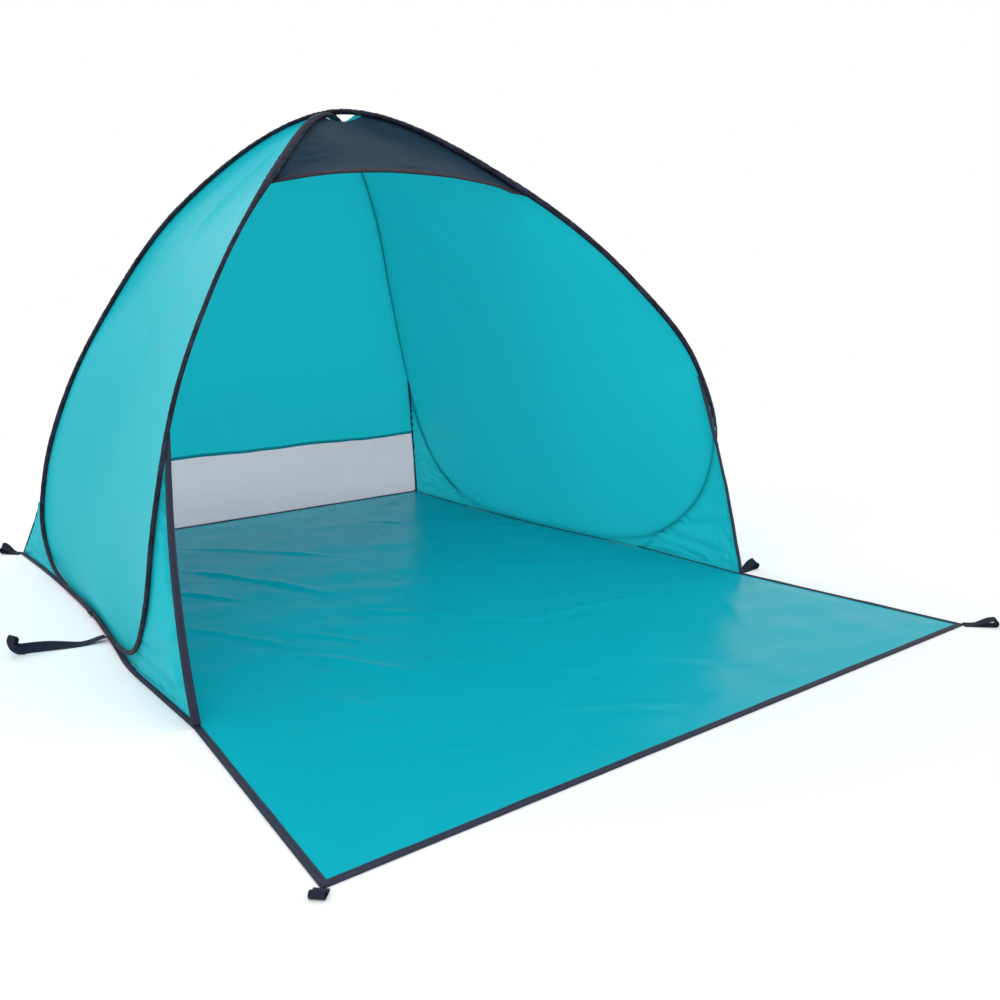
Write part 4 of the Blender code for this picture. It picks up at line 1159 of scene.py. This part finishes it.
class BEACH_TENT_OT_legs(bpy.types.Operator):
    """Make the four taped seams that run down to the floor's corners"""
    bl_idname = "beach_tent.legs"
    bl_label = "Legs"

    def execute(self, context):
        angles = 2 * math.pi * np.arange(LEG_SIDES) / LEG_SIDES
        cosine, sine = np.cos(angles), np.sin(angles)
        flat = np.sign(cosine) * np.abs(cosine) ** 0.6 * 0.0024
        wide = np.sign(sine) * np.abs(sine) ** 0.75
        part = STITCHED_LEG_ROWS
        for name, leaf in LEAVES.items():
            for place, leg, half, facing in (
                    ("front", FRONT_LEGS[name], 0.0090, (leaf.side * 0.15, -1.0, 0.1)),
                    ("rear", REAR_LEGS[name], 0.0068, (leaf.side, 0.3, 0.1))):
                centres = leg.at(np.linspace(0.0, 1.0, LEG_ROWS))
                ahead = unit(np.gradient(centres, axis=0))
                out = square_to(np.broadcast_to(facing, centres.shape), ahead)
                over = np.cross(ahead, out)
                travelled = travelled_along(centres)
                wobble = 0.0006 * np.sin(travelled / 0.043) + 0.0004 * np.sin(travelled / 0.017 + 1.0)
                spread = half * np.interp(travelled, *zip(*LEG_SPREADS[leaf.side]))[:, None, None]
                rings = centres[:, None] + (flat + wobble[:, None])[..., None] * out[:, None]
                rings += spread * wide[:, None] * over[:, None]
                rings[..., 2] = np.maximum(rings[..., 2], TAPE_TOP + 0.0003)
                weave = weave_over(travelled, angles * 0.005)
                tape = ring_tube(f"{name}_{place}_leg_tape", rings, "tape", weave)
                seat(tape, "binding_tape", "tent", f"{name}_{place}_leg_binding")
                line = centres[part] + wobble[part, None] * out[part]
                rows = [stitched_row(line, out[part] * face, 0.0020, shift)
                        for face in (1, -1) for shift in (-0.0052, 0.0052)]
                stitches(f"{name}_{place}_leg_stitches", rows, "tent", "binding_tape")
        return {"FINISHED"}


# Creases in the floor: ends as shares of half its width and of its length, then width and height
FLOOR_CREASE_SHARES = (
    ((-0.287, 0.524), (-0.029, 0.617), 0.016, 0.0052),
    ((-0.087, 0.612), (0.13, 0.690), 0.014, 0.0060),
    ((0.05, 0.680), (0.56, 0.702), 0.018, 0.0064),
    ((-0.513, 0.550), (-0.384, 0.632), 0.013, 0.0040),
    ((-0.62, 0.600), (-0.336, 0.799), 0.020, 0.0060),
    ((-0.682, 0.728), (-0.566, 0.836), 0.016, 0.0045),
    ((-0.553, 0.750), (-0.475, 0.825), 0.012, 0.0035),
    ((-0.629, 0.865), (-0.560, 0.915), 0.012, 0.0035),
    ((-0.300, 0.690), (-0.245, 0.797), 0.008, 0.0026),
    ((-0.300, 0.728), (-0.160, 0.744), 0.007, 0.0022),
    ((-0.090, 0.810), (-0.015, 0.855), 0.010, 0.0030),
    ((-0.440, 0.110), (0.05, 0.325), 0.016, 0.0048),
    ((-0.540, 0.220), (-0.240, 0.450), 0.020, 0.0070),
    ((-0.640, 0.320), (-0.500, 0.410), 0.014, 0.0045),
    ((0.352, 0.140), (0.530, 0.220), 0.012, 0.0035),
    ((0.540, 0.085), (0.910, 0.010), 0.016, 0.0030),
    ((0.630, 0.290), (0.950, 0.370), 0.016, 0.0035),
    ((0.72, 0.760), (0.500, 0.885), 0.030, 0.0030),
    ((0.20, 0.40), (0.62, 0.56), 0.030, 0.0030),
    ((-0.75, 0.46), (-0.56, 0.60), 0.016, 0.0040),
    ((-0.30, 0.88), (0.02, 0.96), 0.022, 0.0030),
    ((0.10, 0.83), (0.34, 0.93), 0.022, 0.0026),
)


class BEACH_TENT_OT_floor(bpy.types.Operator):
    """Make the floor, one cloth from the rear edge through to the far edge of the mat"""
    bl_idname = "beach_tent.floor"
    bl_label = "Floor"

    def execute(self, context):
        sizes = context.scene.beach_tent_sizes
        depths = np.linspace(REAR_Y, FAR_Y, FLOOR_ROWS)
        left, right = edge_x(-1, depths)[:, None], edge_x(1, depths)[:, None]
        share = np.linspace(0, 1, FLOOR_COLUMNS)[None]
        x = left * (1 - share) + right * share
        y = np.broadcast_to(depths[:, None], x.shape)
        calm = np.stack([x, y, np.full(x.shape, FLOOR_TOP - sizes.floor_cloth / 2)], axis=-1)
        places = calm[..., :2]
        height = 0.0010 * (ripples(places, (0.12, 0.5), 14, sizes.seed + 51) + 1.2)
        height += 0.00013 * ripples(places * np.array([0.45, 1.0]), (0.05, 0.14), 16, sizes.seed + 52)
        for start, end, width, rise in FLOOR_CREASE_SHARES:
            ends = np.array([start, end]) * (FRONT_WIDTH / 2, -FLOOR_LENGTH) + (0.0, REAR_Y)
            height += crease(places, *ends, width * 0.7, rise, bow=0.03)
        gap = np.minimum(np.minimum(x - left, right - x), np.minimum(REAR_Y - y, y - FAR_Y))
        net = calm.copy()
        net[..., 2] += np.maximum(height, 0.0) * smooth_step(gap, sizes.tape_lip, 0.07)
        piece = cloth_piece("floor_cloth", ["body_floor", "porch_floor"], net, calm, ALL_EDGES,
                            "floor", "floor_cloth", sizes.floor_cloth, body=None)
        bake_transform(piece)
        return {"FINISHED"}


def tape_section(lip):
    """The binding's section, out and up from the floor's edge: over the cloth, round it and under."""
    under = FLOOR_TOP - 0.0016
    over = [(-lip, FLOOR_TOP + 0.0001), (-lip, TAPE_TOP - 0.0003), (-lip + 0.001, TAPE_TOP),
            (-lip / 2, TAPE_TOP + 0.0002)]
    round_out = [(0.0012 + 0.0012 * math.cos(angle), TAPE_TOP / 2 + TAPE_TOP / 2 * math.sin(angle))
                 for angle in np.linspace(math.pi / 2, -math.pi / 2, 7)]
    below = [(-lip + 0.002, 0.0), (-lip + 0.002, under), (0.0002, under), (0.0006, FLOOR_TOP + 0.0001)]
    return [*over, *round_out, *below]


def binding(name, node, path, outward, body):
    """Tape folded over an edge of the floor, with two rows of stitches."""
    lip = bpy.context.scene.beach_tent_sizes.tape_lip
    length = travelled_along(path)[-1]
    spots = np.linspace(0, length, max(8, int(length / BINDING_STEP)) + 1)
    line = read_along(path, spots)
    out = np.broadcast_to(np.array(outward, float), line.shape)
    section = tape_section(lip)
    wave = np.maximum(0.0004 * np.sin(spots / 0.05) + 0.0003 * np.sin(spots / 0.021 + 2.0), -0.0001)
    rings = np.stack([line + out * a + UP * b for a, b in section], axis=1)
    rings[..., 2] += wave[:, None] * np.array([b > FLOOR_TOP for _, b in section])
    around = np.cumsum([0.0, *map(math.dist, section, section[1:])])
    seat(ring_tube(name, rings, "tape", weave_over(spots, around)), "binding_tape", body, node)
    rows = []
    for shift in (0.0022, lip - 0.0028):
        row = line - out * shift
        row[:, 2] = TAPE_TOP + wave
        rows.append(stitched_row(row[1:-1], UP, 0.00035))
    stitches(name.replace("_tape", "_stitches"), rows, body, "binding_tape")


class BEACH_TENT_OT_bindings(bpy.types.Operator):
    """Make the tape round the floor and the mat"""
    bl_idname = "beach_tent.bindings"
    bl_label = "Floor bindings"

    def execute(self, context):
        outside, setback = 0.0015, 0.002
        flat = np.zeros(EDGE_POINTS)
        for name, side in SIDES.items():
            for place, body, start, end, limit in (
                    ("floor", "tent", DOOR_Y + setback, REAR_Y + outside, REAR_Y),
                    ("porch", "porch", DOOR_Y - setback, FAR_Y - outside, DOOR_Y - 1e-6)):
                depths = np.linspace(start, end, EDGE_POINTS)
                path = np.stack([edge_x(side, np.clip(depths, FAR_Y, limit)), depths, flat], axis=-1)
                binding(f"{name}_{place}_edge_tape", f"{name}_{place}_binding", path, (side, 0, 0), body)
        for name, y, out, body in (("rear_floor", REAR_Y, 1, "tent"), ("front_porch", FAR_Y, -1, "porch")):
            half = abs(float(edge_x(1, y))) - 0.0006
            path = np.stack([np.linspace(-half, half, EDGE_POINTS), flat + y, flat], axis=-1)
            binding(f"{name}_edge_tape", f"{name}_binding", path, (0, out, 0), body)
        return {"FINISHED"}


# One face of a webbing's section, as shares of half its width and half its thickness
WEBBING_FACE = (
    (-1.0, 0.0), (-0.97, 0.8), (-0.9, 1.0), (-0.45, 0.9), (0.0, 0.95), (0.45, 0.9), (0.9, 1.0), (0.97, 0.8),
)


def ribbon(name, path, over):
    """A band of webbing along a path. Over is the direction across it."""
    ahead = unit(np.gradient(path, axis=0))
    over = square_to(np.broadcast_to(over, path.shape), ahead)
    up = np.cross(ahead, over)
    face = np.array(WEBBING_FACE) * (WEBBING_WIDTH / 2, WEBBING_THICKNESS / 2)
    section = np.vstack([face, -face])
    rings = np.stack([path + over * a + up * b for a, b in section], axis=1)
    return ring_tube(name, rings, "webbing", weave_over(travelled_along(path), section[:, 0]))


def loop_path(length, eye):
    """Side view of a folded loop: out along the ground, round the eye and back over the tail."""
    tail = length * 0.28
    nose = length - WEBBING_THICKNESS - eye
    low = WEBBING_THICKNESS / 2
    top = low + WEBBING_THICKNESS + 0.0003
    radius = eye + low
    angles = np.radians(np.linspace(-80, 120, 18))
    ease = np.linspace(0, 1, 16)[1:]
    out = [(x, low) for x in np.linspace(0.0, nose, 16)]
    turn = [(nose + radius * math.cos(a), low + radius + radius * math.sin(a)) for a in angles]
    x, z = turn[-1]
    back = [(x + (tail - x) * share, z + (top - z) * share * share * (3 - 2 * share)) for share in ease]
    rest = [(x, top) for x in np.linspace(tail, 0.0005, 8)[1:]]
    return np.array([*out, *turn, *back, *rest]) + (0.0, 0.0001)


LOOP_LENGTHS = {"front_left": 0.028, "rear_left": 0.062}
# Each loop's heading, and how far its free end is turned on its side, in degrees
LOOP_TURNS_DEG = {
    "rear_right": (45, 14), "rear_left": (135, -42), "front_right": (-45, 8), "front_left": (-135, 0),
    "middle_right": (0, 30),
}


class BEACH_TENT_OT_stake_loops(bpy.types.Operator):
    """Make the five folded webbing loops for stakes"""
    bl_idname = "beach_tent.stake_loops"
    bl_label = "Stake loops"

    def execute(self, context):
        for name, (heading, lean) in LOOP_TURNS_DEG.items():
            joint = next(item for item in frame["joints"] if item["name"] == f"{name}_loop_fold")
            root = np.array(joint["pos_m"]) * (1, 1, 0)
            angle = math.radians(heading)
            ahead = np.array([math.cos(angle), math.sin(angle), 0.0])
            over = np.array([-math.sin(angle), math.cos(angle), 0.0])
            folded = name == "front_left"
            flat = loop_path(LOOP_LENGTHS.get(name, 0.08), 0.0045 if folded else 0.007)
            roll = math.radians(lean) * smooth_step(flat[:, :1], 0.014, 0.062)
            height = flat[:, 1:] + WEBBING_WIDTH / 2 * np.abs(np.sin(roll))
            path = root + flat[:, :1] * ahead + height * UP
            loop = ribbon(f"{name}_webbing_loop", path, over * np.cos(roll) + UP * np.sin(roll))
            body = f"{name}_loop"
            seat(loop, "webbing", body, f"{name}_stake_loop")
            top = flat[-1, 1] + WEBBING_THICKNESS / 2
            near, far, half = 0.002, 0.006 if folded else 0.019, WEBBING_WIDTH / 2 - 0.003
            box = ((near, -half), (near, half), (far, half), (far, -half))
            corners = [root + ahead * a + over * b + UP * top for a, b in box]
            rows = [stitched_row(np.linspace(corners[first], corners[last], 8), UP, 0.0002)
                    for first, last in ((0, 1), (1, 2), (2, 3), (3, 0), (0, 2), (1, 3))]
            stitches(f"{name}_loop_stitches", rows, body, "webbing")
        return {"FINISHED"}


STRAP_RUN = 0.172
STRAP_TURN = math.radians(72)
# The strap's end loop: places from the end of its run and directions across it, each as left, away and up
STRAP_LOOP_KNOTS = (
    (0.000, 0.000, 0.000, 0.1, 0.3, 0.95),
    (0.012, 0.001, 0.002, -0.3, -0.1, 0.85),
    (0.020, 0.004, 0.008, -0.55, -0.5, 0.45),
    (0.021, 0.004, 0.018, -0.6, -0.8, 0.0),
    (0.0192, 0.0036, 0.027, -0.6, -0.8, 0.0),
    (0.0240, 0.000, 0.034, -0.6, -0.8, 0.0),
    (0.0288, -0.0036, 0.027, -0.6, -0.8, 0.0),
    (0.030, -0.004, 0.017, -0.6, -0.8, 0.0),
    (0.026, -0.0045, 0.008, -0.5, -0.6, 0.45),
    (0.014, -0.0035, 0.001, -0.2, -0.1, 0.9),
    (0.000, -0.0030, 0.000, 0.1, 0.3, 0.95),
)


class BEACH_TENT_OT_strap(bpy.types.Operator):
    """Make the long webbing strap on the left and the tab round the sleeve"""
    bl_idname = "beach_tent.strap"
    bl_label = "Strap and tab"

    def execute(self, context):
        low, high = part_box("pull_strap")
        out = np.linspace(0.0, STRAP_RUN, STRAP_POINTS)
        turn = STRAP_TURN * smooth_step(out, 0.02, 0.19)
        rest = WEBBING_THICKNESS / 2 + 0.0001
        drop = (HOOP_LOW - rest) * (1 - smooth_step(out, 0.0, 0.06))
        height = rest + WEBBING_WIDTH / 2 * np.sin(turn) + drop
        y = (low.y + high.y) / 2 + 0.034 * smooth_step(out, 0.0, 0.24)
        points = np.stack([high.x - out, y, height], axis=-1)
        across = np.stack([np.zeros(STRAP_POINTS), np.cos(turn), np.sin(turn)], axis=-1)
        axes = np.array([(-0.972, 0.235, 0.0), (0.235, 0.972, 0.0), (0.0, 0.0, 1.0)])
        knots = np.array(STRAP_LOOP_KNOTS)
        turns = np.vstack([span[::STRAP_LOOP_STEP] for span in smooth_spans(knots[:, :3], closed=False)])
        share = np.arange(len(turns)) * STRAP_LOOP_STEP / SPAN_STEPS
        over = read_rows(share, np.arange(len(knots)), knots[:, 3:])
        points = np.vstack([points, points[-1] + turns[1:] @ axes])
        across = np.vstack([across, over[1:] @ axes])
        seat(ribbon("pull_strap_webbing", points, across), "webbing", "strap", "pull_strap")
        low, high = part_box("sleeve_tab")
        middle = (low.y + high.y) / 2
        angles = np.radians(np.linspace(-70, 55, 18))
        radius = SLEEVE_RADIUS + 0.0013
        ground = LEAVES["left"].at(np.linspace(REAR_TOUCH_SHARE, FRONT_TOUCH_SHARE, 60))[::-1]
        x = float(np.interp(middle, ground[:, 1], ground[:, 0]))
        path = np.stack([x - radius * np.cos(angles), np.full(len(angles), middle),
                         HOOP_LOW + radius * np.sin(angles)], axis=-1)
        seat(ribbon("sleeve_tab_webbing", path, (0.0, 1.0, 0.0)), "webbing", "tent", "sleeve_tab")
        return {"FINISHED"}


class BEACH_TENT_OT_wire(bpy.types.Operator):
    """Finish the spring wire and its crimp, which keep their own shapes"""
    bl_idname = "beach_tent.wire"
    bl_label = "Wire and crimp"

    def execute(self, context):
        for node, finish in (("spring_wire", "steel"), ("wire_crimp", "crimp")):
            materials = frame["nodes"][node].data.materials
            materials.clear()
            materials.append(finish_named(finish))
        return {"FINISHED"}


CAMERA_PLACE = (-1.5262, -2.5939, 0.8649)
CAMERA_YAW_PITCH_ROLL_DEG = (38.6017, 12.5646, -0.1022)
CAMERA_LENS_MM = 37.491
SENSOR_MM = 36.0
WHITE = (1.0, 1.0, 1.0)
SEEN_RAYS = ("Is Camera Ray", "Is Glossy Ray")


def stage_finish(colour):
    """A pale floor that looks white to the camera, keeps the tent's shadow and glows white far from it."""
    finish = Finish("pale stage", {"Roughness": 0.9, "Specular IOR Level": 0.1})
    rays = finish.tree.nodes.new("ShaderNodeLightPath")
    camera_ray, glossy_ray = (Socket(finish, rays.outputs[name]) for name in SEEN_RAYS)
    seen = camera_ray.math("MAXIMUM", camera_ray, glossy_ray)
    place = finish.object_place()
    distance = finish.node("ShaderNodeVectorMath", {"operation": "LENGTH"}, {0: place}, output=1)
    glow = finish.node("ShaderNodeEmission", {}, {"Color": WHITE, "Strength": 1.0})
    finish.mix_surface(distance.between(1.5, 3.2) * seen, glow)
    return finish.surface(Base_Color=finish.mix(seen, list(colour), WHITE))


def make_world():
    """Light from a pale sky, which the camera and mirrors see as white."""
    world = bpy.data.worlds.new("soft studio")
    bpy.context.scene.world = world
    world.use_nodes = True
    tree = world.node_tree
    light = tree.nodes["Background"]
    white = tree.nodes.new("ShaderNodeBackground")
    for background, colour, strength in ((light, (0.94, 0.97, 1.0), 0.95), (white, WHITE, 1.0)):
        background.inputs["Color"].default_value = (*colour, 1.0)
        background.inputs["Strength"].default_value = strength
    rays = tree.nodes.new("ShaderNodeLightPath")
    seen = tree.nodes.new("ShaderNodeMath")
    seen.operation = "MAXIMUM"
    mix = tree.nodes.new("ShaderNodeMixShader")
    for place, name in enumerate(SEEN_RAYS):
        tree.links.new(rays.outputs[name], seen.inputs[place])
    for place, node in enumerate((seen, light, white)):
        tree.links.new(node.outputs[0], mix.inputs[place])
    tree.links.new(mix.outputs[0], tree.nodes["World Output"].inputs["Surface"])


def add_lamp(name, place, aim, size, watts):
    data = bpy.data.lights.new(name, "AREA")
    data.shape = "DISK"
    data.size = size
    data.energy = watts
    lamp = bpy.data.objects.new(name, data)
    lamp.location = place
    lamp.rotation_euler = (Vector(aim) - Vector(place)).to_track_quat("-Z", "Y").to_euler()
    bpy.context.scene.collection.objects.link(lamp)


class BEACH_TENT_OT_stage(bpy.types.Operator):
    """Set the camera, the lamps, the world and the pale floor"""
    bl_idname = "beach_tent.stage"
    bl_label = "Stage"

    def execute(self, context):
        scene = context.scene
        scene.view_settings.view_transform = "Standard"
        yaw, pitch, roll = map(math.radians, CAMERA_YAW_PITCH_ROLL_DEG)
        ahead = Vector((math.sin(yaw) * math.cos(pitch), math.cos(yaw) * math.cos(pitch), -math.sin(pitch)))
        right = Vector((math.cos(yaw), -math.sin(yaw), 0.0))
        up = right.cross(ahead)
        turned = right * math.cos(roll) + up * math.sin(roll)
        upright = up * math.cos(roll) - right * math.sin(roll)
        data = bpy.data.cameras.new("camera")
        data.sensor_width = SENSOR_MM
        data.lens = CAMERA_LENS_MM
        camera = bpy.data.objects.new("camera", data)
        aim = Matrix((turned, upright, -ahead)).transposed().to_4x4()
        camera.matrix_world = Matrix.Translation(CAMERA_PLACE) @ aim
        scene.collection.objects.link(camera)
        scene.camera = camera
        make_world()
        add_lamp("sky lamp", (-2.5, -3.0, 4.2), (0.0, -0.2, 0.3), 3.4, 50.0)
        add_lamp("rear lamp", (-0.6, 3.6, 3.2), (0.0, 0.4, 0.5), 3.0, 40.0)
        bpy.ops.mesh.primitive_circle_add(vertices=96, radius=30.0, fill_type="NGON", location=(0, 0, -0.0005))
        floor = context.object
        floor.name = "stage_floor"
        floor.data.materials.append(stage_finish(scene.beach_tent_colours.stage))
        return {"FINISHED"}


class BEACH_TENT_PT_panel(bpy.types.Panel):
    """Lists the tent's sizes, colours and steps"""
    bl_label = "Beach tent"
    bl_idname = "BEACH_TENT_PT_panel"
    bl_space_type = "VIEW_3D"
    bl_region_type = "UI"
    bl_category = "Beach tent"

    def draw(self, context):
        for group in (context.scene.beach_tent_sizes, context.scene.beach_tent_colours):
            box = self.layout.box()
            for name in group.__annotations__:
                box.prop(group, name)
        for operator in OPERATORS:
            self.layout.operator(operator.bl_idname)


OPERATORS = (
    BEACH_TENT_OT_stage, BEACH_TENT_OT_wire, BEACH_TENT_OT_sleeves, BEACH_TENT_OT_side_panels,
    BEACH_TENT_OT_rear, BEACH_TENT_OT_eave, BEACH_TENT_OT_gussets, BEACH_TENT_OT_legs, BEACH_TENT_OT_floor,
    BEACH_TENT_OT_bindings, BEACH_TENT_OT_stake_loops, BEACH_TENT_OT_strap,
)
CLASSES = (TentColours, TentSizes, *OPERATORS, BEACH_TENT_PT_panel)


def register():
    for item in CLASSES:
        bpy.utils.register_class(item)
    bpy.types.Scene.beach_tent_colours = PointerProperty(type=TentColours)
    bpy.types.Scene.beach_tent_sizes = PointerProperty(type=TentSizes)


def unregister():
    del bpy.types.Scene.beach_tent_sizes
    del bpy.types.Scene.beach_tent_colours
    for item in reversed(CLASSES):
        bpy.utils.unregister_class(item)


def main():
    register()
    for operator in OPERATORS:
        group, name = operator.bl_idname.split(".")
        getattr(getattr(bpy.ops, group), name)()


if __name__ == "__main__":
    main()
